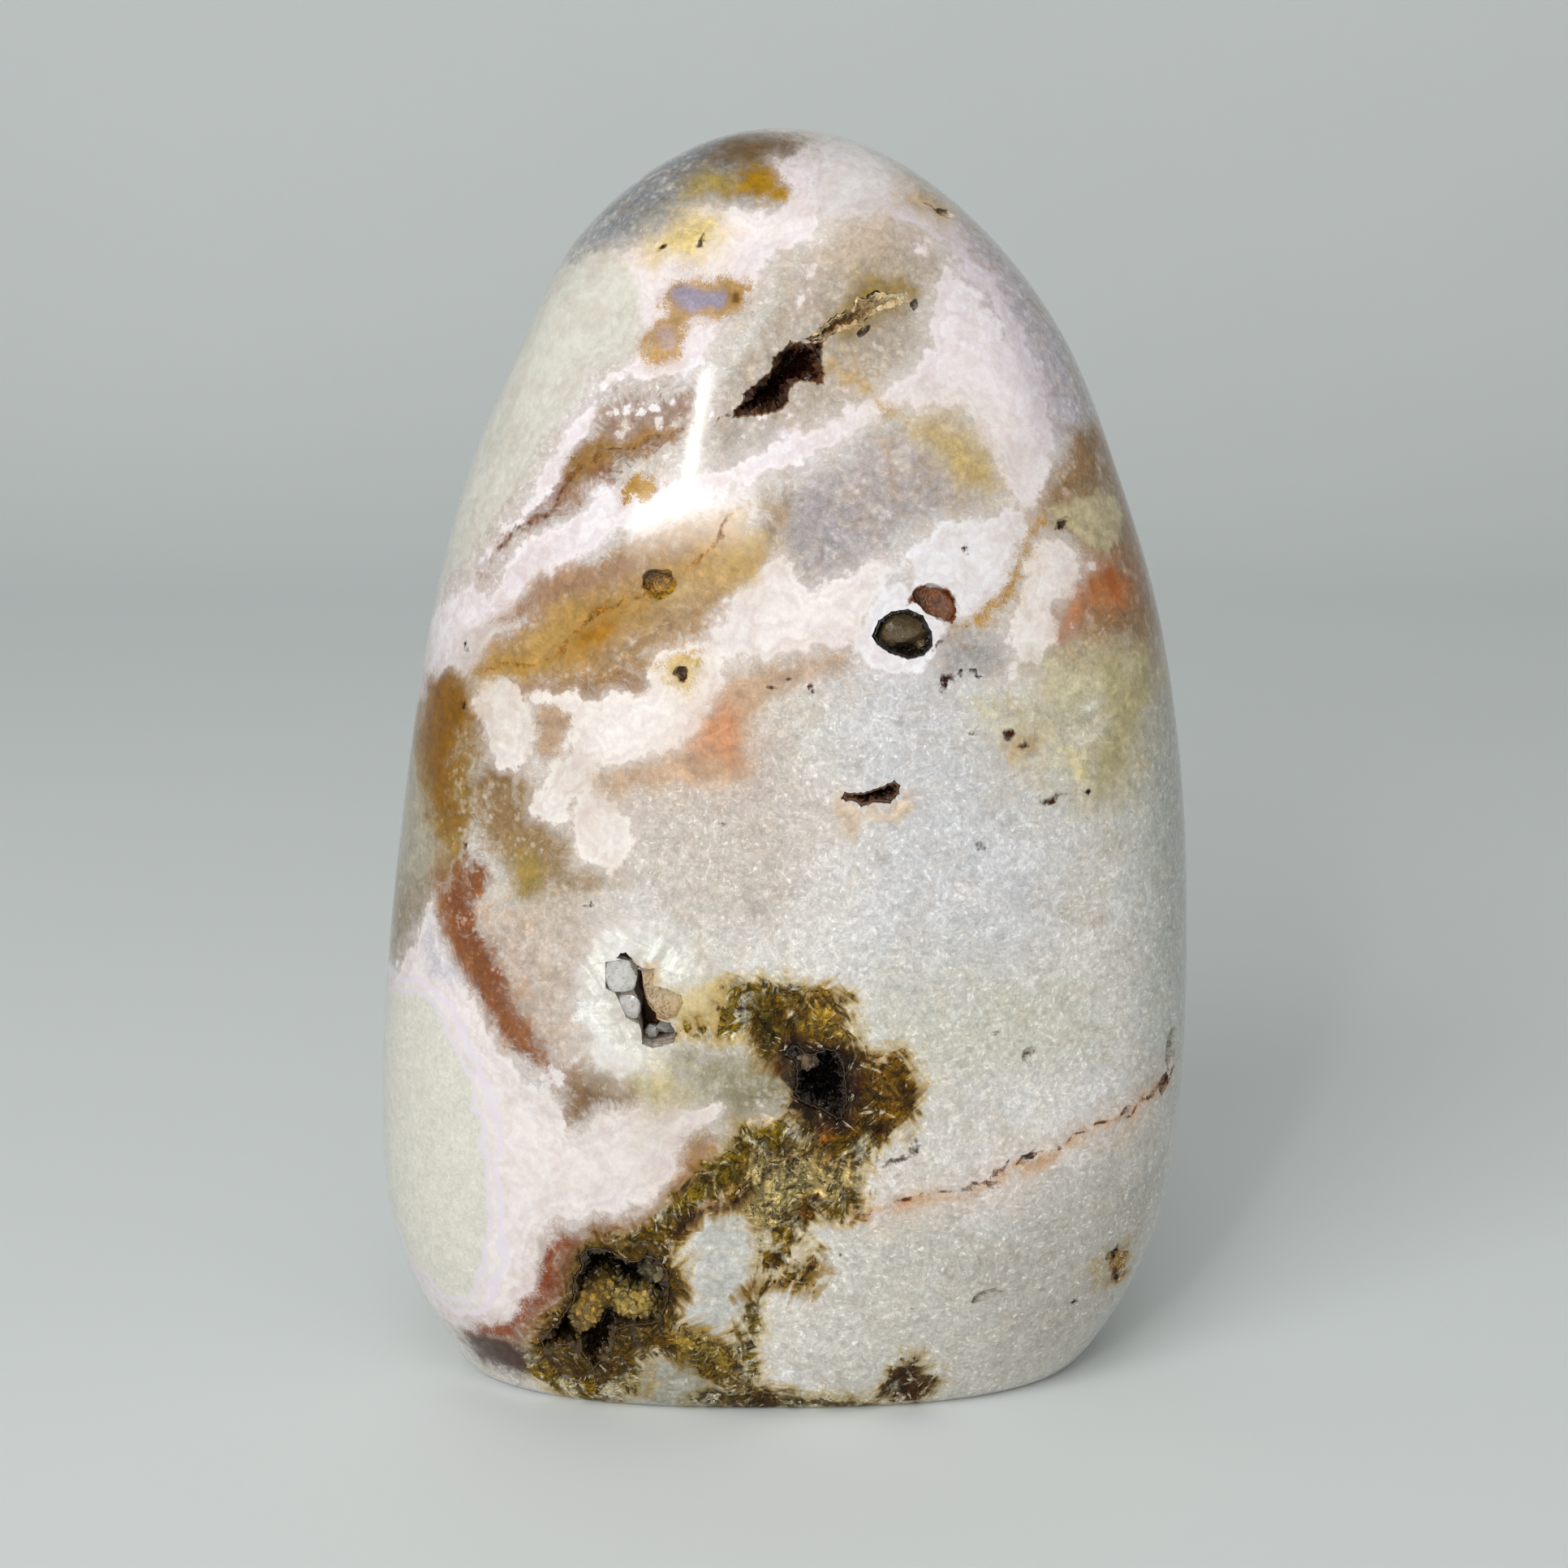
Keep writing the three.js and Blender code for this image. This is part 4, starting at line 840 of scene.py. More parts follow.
def pitPiece(index, at, half, depth, turn):
    x, z = at
    bpy.ops.mesh.primitive_ico_sphere_add(subdivisions=3, radius=1)
    piece = bpy.context.object
    piece.name = "pitCutter"
    points = readPoints(piece)
    chance = np.random.default_rng(40 + index)
    phases = chance.uniform(0, 6.28, 6)
    wave = sum(
        np.sin(points @ direction * 4.5 + phase)
        for direction, phase in zip(chance.normal(size=(6, 3)), phases)
    )
    points = points * (1 + 0.07 * wave)[:, None] * np.array([half[0], depth, half[1]])
    angle = math.radians(turn)
    turned = np.stack([
        points[:, 0] * math.cos(angle) - points[:, 2] * math.sin(angle),
        points[:, 1],
        points[:, 0] * math.sin(angle) + points[:, 2] * math.cos(angle),
    ], 1)
    writePoints(piece, (turned + np.array([x, float(faceAt(x, z)), z])) * mm)
    return piece


def cutStone():
    at, results = markStone(body, ["druse"])
    # the stained crystal zones are broken and stand back from the polish
    broken = np.clip(results["druse"][0] / 1.2, 0, 1) * np.clip(at[:, 2] / 2, 0, 1)
    sink = broken * np.clip(0.14 + 0.5 * roughen(at, 2.6, 3), 0, 0.7)
    middle, halfWidth, halfDepth = sectionAt(at[:, 2])
    inward = np.stack([(middle - at[:, 0]) / 39, -at[:, 1] / 23, np.zeros(len(at))], 1)
    inward /= np.maximum(np.linalg.norm(inward, axis=1), 1e-6)[:, None]
    writePoints(body, (at + inward * sink[:, None]) * mm)

    for name, hollow in hollows.items():
        rim = jaggedRim(hollow["rim"], hollow["jag"])
        cutWith(bowlPiece(name + "Cutter", rim, -4, hollow["depth"], hollow["floor"]))
    made = [pitPiece(index, *pit) for index, pit in enumerate(pits)]
    cutWith(joinPieces(made[::2], "pitCutters"))  # neighbours may touch, so in two goes
    cutWith(joinPieces(made[1::2], "pitCutters"))


def cutWith(cutter):
    activate(body)
    cut = body.modifiers.new("hollow", "BOOLEAN")
    cut.operation = "DIFFERENCE"
    cut.solver = "EXACT"
    cut.object = cutter
    bpy.ops.object.modifier_apply(modifier=cut.name)
    bpy.data.objects.remove(cutter)


cutStone()
writePoints(body, np.clip(readPoints(body), stoneLow, stoneHigh))
print("hollows cut:", len(body.data.vertices), "vertices")

at, results = markStone(body, layerNames)
sunk = np.where(at[:, 1] < 0, at[:, 1] - faceAt(at[:, 0], at[:, 2]), 0)
for hollow in hollows.values():
    if hollow.get("pale"):
        inWindow = distanceTo(at[:, [0, 2]], np.array(hollow["rim"]), True) > -0.1
        sunk = np.where(inWindow, np.minimum(sunk, np.maximum(sunk - 2.3, 0)), sunk)
writeMarks(body, results, np.clip(sunk, 0, 20))
activate(body)
bpy.ops.object.shade_smooth_by_angle(angle=math.radians(38))
print("markings written")


# node helpers
def node(tree, kind, inputs=None, **settings):
    made = tree.nodes.new("ShaderNode" + kind)
    for name, value in settings.items():
        setattr(made, name, value)
    for key, value in (inputs or {}).items():
        if isinstance(value, bpy.types.NodeSocket):
            tree.links.new(value, made.inputs[key])
        else:
            made.inputs[key].default_value = value
    return made


def calc(tree, operation, *values, clamp=False):
    inputs = dict(enumerate(values))
    return node(tree, "Math", inputs, operation=operation, use_clamp=clamp).outputs[0]


def blendTones(tree, share, first, second, kind="MIX"):
    inputs = {0: share, 6: first, 7: second}
    return node(tree, "Mix", inputs, data_type="RGBA", blend_type=kind).outputs[2]


def ramp(tree, value, low, high, toLow=0.0, toHigh=1.0, kind="SMOOTHSTEP"):
    inputs = {"Value": value, "From Min": low, "From Max": high, "To Min": toLow, "To Max": toHigh}
    return node(tree, "MapRange", inputs, interpolation_type=kind).outputs["Result"]


def readField(tree, name):
    made = node(tree, "Attribute")
    made.attribute_name = name
    return made.outputs


def newGroup(name, inputs, outputs):
    group = bpy.data.node_groups.new(name, "ShaderNodeTree")
    for direction, sockets in (("INPUT", inputs), ("OUTPUT", outputs)):
        for label, kind in sockets.items():
            group.interface.new_socket(name=label, in_out=direction, socket_type="NodeSocket" + kind)
    return group, group.nodes.new("NodeGroupInput").outputs, group.nodes.new("NodeGroupOutput").inputs


def useGroup(tree, group, inputs):
    made = tree.nodes.new("ShaderNodeGroup")
    made.node_tree = group
    for key, value in inputs.items():
        if isinstance(value, bpy.types.NodeSocket):
            tree.links.new(value, made.inputs[key])
        else:
            made.inputs[key].default_value = value
    return made.outputs


def colour(*tone):
    return (*[float(value) for value in toLinear(np.array(tone) / 255)], 1)


# shared effects
# Noise that the edges of all layers share: round lobes, fine teeth, swirls and broad clouds
def makeGrowthGroup():
    group, given, result = newGroup(
        "growthNoise", {"Place": "Vector"},
        {"Lobes": "Float", "Teeth": "Color", "Swirls": "Color", "Clouds": "Color"},
    )
    cells = node(group, "TexVoronoi", {"Vector": given["Place"], "Scale": 0.95}, feature="F1")
    group.links.new(calc(group, "SUBTRACT", 0.5, cells.outputs["Distance"]), result["Lobes"])
    teeth = node(group, "TexNoise", {
        "Vector": given["Place"], "Scale": 2.4, "Detail": 3.0, "Roughness": 0.68})
    group.links.new(teeth.outputs["Color"], result["Teeth"])
    swirls = node(group, "TexNoise", {
        "Vector": given["Place"], "Scale": 0.42, "Detail": 4.0, "Roughness": 0.6, "Distortion": 0.8})
    group.links.new(swirls.outputs["Color"], result["Swirls"])
    clouds = node(group, "TexNoise", {
        "Vector": given["Place"], "Scale": 0.13, "Detail": 3.0, "Roughness": 0.55, "Distortion": 0.6})
    group.links.new(clouds.outputs["Color"], result["Clouds"])
    return group


# A feathery edge: the distance to an outline, pushed about by lobes, swirls and teeth,
# and a faint veil past it, as in clear stone over a milky one
def makeEdgeGroup():
    group, given, result = newGroup(
        "featherEdge",
        {"Depth": "Float", "Lobes": "Float", "LobeSize": "Float", "Swirls": "Float",
         "SwirlSize": "Float", "Teeth": "Float", "ToothSize": "Float", "Soft": "Float",
         "Veil": "Float"},
        {"Mask": "Float", "Depth": "Float"},
    )
    moved = calc(group, "MULTIPLY_ADD", given["Lobes"], given["LobeSize"], given["Depth"])
    for name, size in (("Swirls", "SwirlSize"), ("Teeth", "ToothSize")):
        moved = calc(group, "MULTIPLY_ADD", calc(group, "SUBTRACT", given[name], 0.5), given[size], moved)
    low = calc(group, "MULTIPLY", given["Soft"], -1.0)
    tight = ramp(group, moved, low, given["Soft"])
    wide = ramp(group, moved, calc(group, "MULTIPLY_ADD", given["Soft"], -2.5, -0.9), calc(group, "ADD", given["Soft"], 0.6))
    veiled = calc(group, "MULTIPLY", wide, given["Veil"])
    group.links.new(calc(group, "MAXIMUM", tight, veiled), result["Mask"])
    group.links.new(moved, result["Depth"])
    return group


# Grown-together quartz grains: their shades, the tilt of their faces and short needles
def makeSugarGroup():
    group, given, result = newGroup(
        "sugarGrain", {"Place": "Vector", "Size": "Float"},
        {"Shade": "Float", "Needles": "Float", "Rays": "Float", "Blades": "Float", "Tilt": "Vector",
         "Height": "Float"},
    )
    perMm = calc(group, "DIVIDE", 1.0, given["Size"])
    grains = node(group, "TexVoronoi", {"Vector": given["Place"], "Scale": perMm}, feature="F1")
    shade = node(group, "SeparateColor", {0: grains.outputs["Color"]}).outputs
    small = node(group, "TexVoronoi", {
        "Vector": given["Place"], "Scale": calc(group, "MULTIPLY", perMm, 2.3)}, feature="F1")
    smallShade = node(group, "SeparateColor", {0: small.outputs["Color"]}).outputs
    both = calc(group, "MULTIPLY_ADD", shade["Red"], 0.6, calc(group, "MULTIPLY", smallShade["Red"], 0.4))
    group.links.new(both, result["Shade"])
    bent = node(group, "VectorMath", {
        0: given["Place"], 1: grains.outputs["Color"], 2: given["Place"]}, operation="MULTIPLY_ADD")
    needles = node(group, "TexNoise", {
        "Vector": bent.outputs[0], "Scale": calc(group, "MULTIPLY", perMm, 0.55),
        "Detail": 3.0, "Roughness": 0.7, "Distortion": 1.2})
    group.links.new(needles.outputs[0], result["Needles"])
    # needles that fan out from the middle of each bundle
    bundles = node(group, "TexVoronoi", {
        "Vector": bent.outputs[0], "Scale": calc(group, "MULTIPLY", perMm, 0.24)}, feature="F1")
    away = node(group, "VectorMath", {0: bent.outputs[0], 1: bundles.outputs["Position"]}, operation="SUBTRACT")
    aim = node(group, "VectorMath", {0: away.outputs[0]}, operation="NORMALIZE").outputs[0]
    spread = node(group, "VectorMath", {0: aim, 1: (7, 7, 7), 2: away.outputs[0]}, operation="MULTIPLY_ADD").outputs[0]
    rays = node(group, "TexNoise", {"Vector": spread, "Scale": 1.0, "Detail": 2.0, "Roughness": 0.6})
    group.links.new(rays.outputs[0], result["Rays"])
    # thin blades side by side, turned another way in each cluster
    clusters = node(group, "TexVoronoi", {
        "Vector": given["Place"], "Scale": calc(group, "MULTIPLY", perMm, 0.4)}, feature="F1")
    anyTurn = node(group, "SeparateColor", {0: clusters.outputs["Color"]}).outputs["Red"]
    turned = node(group, "VectorRotate", {
        "Vector": given["Place"], "Axis": (0, 1, 0), "Angle": calc(group, "MULTIPLY", anyTurn, 6.28)},
        rotation_type="AXIS_ANGLE")
    stretched = node(group, "VectorMath", {0: turned.outputs[0], 1: (3.2, 0.9, 0.5)}, operation="MULTIPLY")
    blades = node(group, "TexNoise", {
        "Vector": stretched.outputs[0], "Scale": calc(group, "MULTIPLY", perMm, 0.7),
        "Detail": 1.5, "Roughness": 0.6, "Distortion": 0.25})
    group.links.new(blades.outputs[0], result["Blades"])
    tilt = node(group, "VectorMath", {0: grains.outputs["Color"], 1: (0.5, 0.5, 0.5)}, operation="SUBTRACT")
    group.links.new(tilt.outputs[0], result["Tilt"])
    group.links.new(small.outputs["Distance"], result["Height"])
    return group


growthGroup = makeGrowthGroup()
edgeGroup = makeEdgeGroup()
sugarGroup = makeSugarGroup()


def placeInMm(tree):
    place = node(tree, "TexCoord").outputs["Object"]
    return node(tree, "VectorMath", {0: place, "Scale": 1 / mm}, operation="SCALE").outputs[0]


# material of the stone
agateLook = {
    "sugar": (221, 218, 215),
    "edges": {  # size of lobes, swirls and teeth in mm, softness against drawn, veil past it
        "haze": (1.0, 5, 1, 1.3, 0), "glassy": (0.8, 3.0, 3.0, 2.2, 0.3),
        "milky": (0.9, 0.9, 1.3, 2.0, 0.4), "stain": (0.5, 2.2, 2.6, 1.9, 0.3),
        "core": (0.15, 0.6, 0.5, 1.6, 0.25), "druse": (0.8, 2.6, 3.4, 1.0, 0),
        "deep": (0.5, 1.8, 3.0, 1.1, 0), "dark": (0.1, 0.8, 0.6, 1.0, 0),
    },
    "sugarSize": 0.7,
    "coarseSize": 1.5,
    "polish": 0.11,
    "under": 0.35,
    "warmTint": (239, 228, 190),
    "fringe": (236, 218, 170),
    "deepFringe": (196, 168, 104),
}


def shadeBy(tree, share, base, value, low, high, dark, light):
    shade = ramp(tree, value, low, high, dark, light, "LINEAR")
    tone = node(tree, "CombineColor", {0: shade, 1: shade, 2: shade}).outputs[0]
    return blendTones(tree, share, base, tone, "MULTIPLY")


# warm tones gain depth, cool and white ones stay
def deepen(tree, tone):
    parts = node(tree, "SeparateColor", {0: tone}).outputs
    warmth = ramp(tree, calc(tree, "SUBTRACT", parts["Red"], parts["Blue"]), 0.06, 0.28)
    return blendTones(tree, warmth, tone, colour(*agateLook["warmTint"]), "MULTIPLY")


def makeAgate():
    look = bpy.data.materials.new("flowerAgate")
    look.use_nodes = True
    tree = look.node_tree
    surface = tree.nodes["Principled BSDF"]
    place = placeInMm(tree)
    growth = useGroup(tree, growthGroup, {"Place": place})
    teeth, swirls, clouds = (
        node(tree, "SeparateColor", {0: growth[name]}).outputs for name in ("Teeth", "Swirls", "Clouds")
    )
    sugar = useGroup(tree, sugarGroup, {"Place": place, "Size": agateLook["sugarSize"]})
    coarse = useGroup(tree, sugarGroup, {"Place": place, "Size": agateLook["coarseSize"]})
    channels = {
        "haze": "Red", "glassy": "Green", "milky": "Red", "stain": "Blue", "core": "Green",
        "druse": "Blue", "deep": "Green", "dark": "Blue",
    }
    edgeTeeth = {
        "glassy": sugar["Blades"], "stain": sugar["Rays"], "druse": coarse["Blades"],
        "deep": coarse["Blades"],
    }
    masks, depths, tones = {}, {}, {}
    for layerName in layerNames:
        lobeSize, swirlSize, toothSize, softer, veil = agateLook["edges"][layerName]
        toneField = readField(tree, layerName + "Tone")
        tones[layerName] = toneField["Color"]
        channel = channels[layerName]
        edge = useGroup(tree, edgeGroup, {
            "Depth": readField(tree, layerName + "Depth")["Fac"],
            "Lobes": growth["Lobes"], "LobeSize": lobeSize,
            "Swirls": (clouds if layerName == "haze" else swirls)[channel], "SwirlSize": swirlSize,
            "Teeth": edgeTeeth.get(layerName, teeth[channel]),
            "ToothSize": toothSize,
            "Soft": calc(tree, "MULTIPLY", toneField["Alpha"], softer), "Veil": veil,
        })
        masks[layerName], depths[layerName] = edge["Mask"], edge["Depth"]

    tones["glassy"], tones["stain"] = deepen(tree, tones["glassy"]), deepen(tree, tones["stain"])

    # sugary quartz under everything, faintly pink, grey and green in clouds
    base = blendTones(tree, ramp(tree, clouds["Blue"], 0.4, 0.6), colour(*agateLook["sugar"]), colour(213, 207, 198))
    base = blendTones(tree, masks["haze"], base, tones["haze"])
    base = blendTones(tree, masks["glassy"], base, tones["glassy"])
    # clear zones let milky wisps show from below, with round grains and fans of needles
    wisps = calc(tree, "MULTIPLY", ramp(tree, swirls["Red"], 0.5, 0.68), masks["glassy"])
    base = blendTones(tree, calc(tree, "MULTIPLY", wisps, 0.4), base, colour(216, 208, 197))
    inGlass = ramp(tree, masks["glassy"], 0, 1, 0.45, 1.0, "LINEAR")
    base = shadeBy(tree, 1.0, base, clouds["Green"], 0.3, 0.7, 0.95, 1.04)
    base = shadeBy(tree, inGlass, base, swirls["Green"], 0.3, 0.7, 0.86, 1.13)
    base = shadeBy(tree, inGlass, base, growth["Lobes"], -0.15, 0.42, 0.9, 1.07)
    base = shadeBy(tree, inGlass, base, sugar["Rays"], 0.3, 0.7, 0.84, 1.16)
    base = shadeBy(tree, inGlass, base, coarse["Needles"], 0.35, 0.68, 0.86, 1.12)
    base = shadeBy(tree, inGlass, base, coarse["Height"], 0.15, 0.75, 1.06, 0.9)
    pale = calc(tree, "MULTIPLY", ramp(tree, coarse["Height"], 0.5, 0.3), ramp(tree, coarse["Shade"], 0.52, 0.66))
    pale = calc(tree, "MULTIPLY", pale, calc(tree, "MULTIPLY", masks["glassy"], ramp(tree, swirls["Green"], 0.42, 0.6, 0.05, 0.32)))
    base = blendTones(tree, pale, base, colour(226, 221, 213))
    warmer = blendTones(tree, 1.0, base, colour(250, 234, 214), "MULTIPLY")
    warmth = calc(tree, "MULTIPLY", ramp(tree, swirls["Blue"], 0.45, 0.65), inGlass)
    base = blendTones(tree, calc(tree, "MULTIPLY", warmth, 0.6), base, warmer)
    nearMilk = ramp(tree, depths["milky"], -1.6, 0.1)
    base = blendTones(tree, calc(tree, "MULTIPLY", nearMilk, 0.3), base, colour(226, 206, 197), "MULTIPLY")
    # grains of sugar: strong in plain quartz, faint in the glassy zones
    grainShare = ramp(tree, masks["glassy"], 0, 1, 1.0, 0.5, "LINEAR")
    grain = ramp(tree, sugar["Shade"], 0.1, 0.9, 0.85, 1.1, "LINEAR")
    grainTone = node(tree, "CombineColor", {0: grain, 1: grain, 2: grain}).outputs[0]
    base = blendTones(tree, grainShare, base, grainTone, "MULTIPLY")
    needle = ramp(tree, sugar["Needles"], 0.35, 0.68, 0.82, 1.14, "LINEAR")
    needleTone = node(tree, "CombineColor", {0: needle, 1: needle, 2: needle}).outputs[0]
    lineShare = ramp(tree, masks["glassy"], 0, 1, 1.0, 0.55, "LINEAR")
    base = blendTones(tree, lineShare, base, needleTone, "MULTIPLY")
    base = shadeBy(tree, lineShare, base, sugar["Blades"], 0.34, 0.66, 0.9, 1.07)
    # white flecks in the sugar: partly its real white needles, partly painted glints of crystal faces
    flecksAndGlints = calc(tree, "MULTIPLY", ramp(tree, sugar["Needles"], 0.56, 0.66), ramp(tree, sugar["Blades"], 0.46, 0.62, 0.08, 0.65))
    flecksAndGlints = calc(tree, "MULTIPLY", flecksAndGlints, ramp(tree, masks["glassy"], 0, 1, 1.0, 0.3, "LINEAR"))
    base = blendTones(tree, flecksAndGlints, base, colour(246, 244, 240))

    # milky chalcedony: pink and lavender layers that follow its outline, cottony flecks
    layers = calc(tree, "MULTIPLY_ADD", depths["milky"], 5.0, calc(tree, "MULTIPLY", swirls["Red"], 5.0))
    layers = ramp(tree, calc(tree, "SINE", layers), -1, 1)
    inLayers = calc(tree, "MULTIPLY", ramp(tree, depths["milky"], 5.0, 0.8), 0.55)
    pinker = blendTones(tree, 1.0, tones["milky"], colour(238, 231, 237), "MULTIPLY")
    milk = blendTones(tree, calc(tree, "MULTIPLY", layers, inLayers), tones["milky"], pinker)
    milk = blendTones(tree, ramp(tree, swirls["Blue"], 0.42, 0.62, 0.0, 0.8), milk, blendTones(tree, 1.0, milk, colour(244, 239, 236), "MULTIPLY"))
    milk = shadeBy(tree, 1.0, milk, teeth["Green"], 0.35, 0.65, 0.94, 1.03)
    milk = shadeBy(tree, 1.0, milk, growth["Lobes"], -0.2, 0.45, 0.95, 1.02)
    milk = shadeBy(tree, 1.0, milk, clouds["Red"], 0.35, 0.65, 0.96, 1.03)
    base = blendTones(tree, masks["milky"], base, milk)
    onlyEye = ramp(tree, readField(tree, "coreTone")["Alpha"], 0.19, 0.16)
    for layerName, mottle in (("stain", 1.0), ("core", ramp(tree, onlyEye, 0, 1, 0.9, 0.25))):
        tone = shadeBy(tree, mottle, tones[layerName], swirls["Green"], 0.3, 0.7, 0.8, 1.18)
        tone = shadeBy(tree, mottle, tone, coarse["Needles"], 0.35, 0.68, 0.82, 1.16)
        tone = blendTones(tree, 0.7, tone, needleTone, "MULTIPLY")
        base = blendTones(tree, masks[layerName], base, tone)
    # thin white and lavender layers round the cream eye
    lavender = calc(tree, "MULTIPLY", ramp(tree, depths["core"], -2.4, -1.2), ramp(tree, depths["core"], 0.9, 0.2))
    thin = ramp(tree, calc(tree, "SINE", calc(tree, "MULTIPLY", depths["core"], 4.6)), -0.7, 0.5)
    lavender = calc(tree, "MULTIPLY", calc(tree, "MULTIPLY", lavender, thin), calc(tree, "MULTIPLY", onlyEye, 0.75))
    base = blendTones(tree, lavender, base, colour(214, 205, 216))

    # stained broken crystals: ochre, olive and clear grey, fans of needles, dark cracks between
    stainedTone = tones["druse"]
    dusk = ramp(tree, node(tree, "SeparateColor", {0: stainedTone}).outputs["Green"], 0.5, 0.2)
    some = ramp(tree, dusk, 0, 1, 0.35, 1.0, "LINEAR")
    golden = blendTones(tree, 1.0, stainedTone, colour(240, 230, 188), "MULTIPLY")
    golden = shadeBy(tree, 1.0, golden, clouds["Blue"], 0.3, 0.4, 1.35, 1.5)
    drusy = blendTones(tree, calc(tree, "MULTIPLY", ramp(tree, clouds["Blue"], 0.46, 0.58, 0.0, 0.8), dusk), stainedTone, golden)
    clearer = blendTones(tree, 0.7, stainedTone, colour(196, 190, 166))
    drusy = blendTones(tree, calc(tree, "MULTIPLY", ramp(tree, swirls["Red"], 0.5, 0.6), some), drusy, clearer)
    drusy = shadeBy(tree, dusk, drusy, swirls["Green"], 0.34, 0.44, 0.55, 1.0)
    drusy = shadeBy(tree, some, drusy, coarse["Shade"], 0.2, 0.8, 0.72, 1.22)
    drusy = shadeBy(tree, some, drusy, coarse["Needles"], 0.36, 0.66, 0.75, 1.25)
    drusy = shadeBy(tree, some, drusy, coarse["Blades"], 0.36, 0.64, 0.5, 1.55)
    drusy = shadeBy(tree, some, drusy, sugar["Blades"], 0.35, 0.65, 0.7, 1.3)
    crossing = calc(tree, "ABSOLUTE", calc(tree, "SUBTRACT", swirls["Blue"], 0.5))
    cracks = calc(tree, "MULTIPLY", ramp(tree, crossing, 0.04, 0.008), ramp(tree, coarse["Needles"], 0.46, 0.54))
    notches = calc(tree, "MULTIPLY", ramp(tree, coarse["Height"], 0.56, 0.7), ramp(tree, swirls["Red"], 0.56, 0.46))
    gaps = calc(tree, "MAXIMUM", cracks, calc(tree, "MULTIPLY", notches, 0.75))
    fringe = calc(tree, "MULTIPLY", ramp(tree, depths["druse"], -1.9, 0.1), dusk)
    base = blendTones(tree, fringe, base, colour(*agateLook["fringe"]), "MULTIPLY")
    base = blendTones(tree, masks["druse"], base, drusy)
    base = blendTones(tree, ramp(tree, depths["deep"], -1.6, 0.1), base, colour(*agateLook["deepFringe"]), "MULTIPLY")
    heart = shadeBy(tree, 1.0, tones["deep"], coarse["Needles"], 0.36, 0.66, 0.6, 1.45)
    heart = shadeBy(tree, 1.0, heart, coarse["Shade"], 0.2, 0.8, 0.7, 1.3)
    heart = shadeBy(tree, 1.0, heart, coarse["Blades"], 0.35, 0.65, 0.5, 1.6)
    heart = shadeBy(tree, 1.0, heart, sugar["Blades"], 0.35, 0.65, 0.7, 1.3)
    base = blendTones(tree, calc(tree, "MULTIPLY", masks["deep"], 0.85), base, heart)
    stained = calc(tree, "MAXIMUM", calc(tree, "MULTIPLY", masks["druse"], dusk), masks["deep"])
    gaps = calc(tree, "MULTIPLY", gaps, ramp(tree, stained, 0.35, 0.75))
    base = blendTones(tree, calc(tree, "MULTIPLY", gaps, 0.9), base, colour(34, 24, 10))
    # pale crystal tips in the stained zones: partly real pale tips, partly painted glints
    paleTipsAndGlints = calc(tree, "MULTIPLY", ramp(tree, sugar["Blades"], 0.58, 0.68), ramp(tree, coarse["Needles"], 0.45, 0.6))
    paleTipsAndGlints = calc(tree, "MULTIPLY", paleTipsAndGlints, calc(tree, "MULTIPLY", stained, 0.7))
    base = blendTones(tree, paleTipsAndGlints, base, colour(214, 204, 176))
    darkest = shadeBy(tree, 1.0, tones["dark"], sugar["Needles"], 0.38, 0.62, 0.5, 1.6)
    darkest = shadeBy(tree, 1.0, darkest, coarse["Shade"], 0.25, 0.75, 0.45, 1.5)
    base = blendTones(tree, masks["dark"], base, darkest)
    # inside the hollows: the walls are painted darker with depth, from pale tan to dark brown, partly the hollows'
    # brown stain and partly painted shade
    sunkDepth = readField(tree, "sunk")["Fac"]
    inside = ramp(tree, sunkDepth, 0.25, 0.9)
    wall = blendTones(tree, ramp(tree, sunkDepth, 1.2, 4.0), colour(220, 204, 188), colour(70, 48, 28))
    wall = blendTones(tree, 1.0, wall, needleTone, "MULTIPLY")
    wall = blendTones(tree, ramp(tree, sunkDepth, 2.4, 1.4, 0.0, 0.9), wall, base)
    base = blendTones(tree, inside, base, wall)

    broken = calc(tree, "MULTIPLY", masks["druse"], ramp(tree, dusk, 0, 1, 0.3, 1.0, "LINEAR"))
    rough = calc(tree, "MAXIMUM", calc(tree, "MAXIMUM", broken, masks["dark"]), inside)
    tree.links.new(base, surface.inputs["Base Color"])
    tree.links.new(ramp(tree, rough, 0, 1, agateLook["under"], 0.6, "LINEAR"), surface.inputs["Roughness"])
    tree.links.new(ramp(tree, rough, 0, 1, 0.85, 0.1, "LINEAR"), surface.inputs["Coat Weight"])
    surface.inputs["Coat Roughness"].default_value = agateLook["polish"]
    surface.inputs["Coat IOR"].default_value = 1.42
    surface.inputs["IOR"].default_value = 1.5
    surface.inputs["Specular IOR Level"].default_value = 0.15
    # relief: broken crystals, cracks, and grain faces that catch the light
    bumps = calc(tree, "SUBTRACT", calc(tree, "ADD", sugar["Height"], calc(tree, "MULTIPLY", coarse["Blades"], 1.4)), 1.15)
    relief = calc(tree, "MULTIPLY", bumps, calc(tree, "MULTIPLY", rough, 0.25))
    relief = calc(tree, "SUBTRACT", relief, calc(tree, "MULTIPLY", masks["dark"], 0.2))
    bump = node(tree, "Bump", {"Height": relief, "Distance": mm, "Strength": 0.9})
    tiltShare = calc(tree, "MULTIPLY", ramp(tree, masks["milky"], 0, 1, 0.22, 0.04, "LINEAR"), 1.0)
    tilt = node(tree, "VectorMath", {0: sugar["Tilt"], "Scale": tiltShare}, operation="SCALE").outputs[0]
    leaning = node(tree, "VectorMath", {0: bump.outputs[0], 1: tilt}, operation="ADD").outputs[0]
    normal = node(tree, "VectorMath", {0: leaning}, operation="NORMALIZE").outputs[0]
    tree.links.new(normal, surface.inputs["Normal"])
    return look


body.data.materials.clear()
body.data.materials.append(makeAgate())
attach(body, "root")
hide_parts("agate_stone")
print("stone material made")
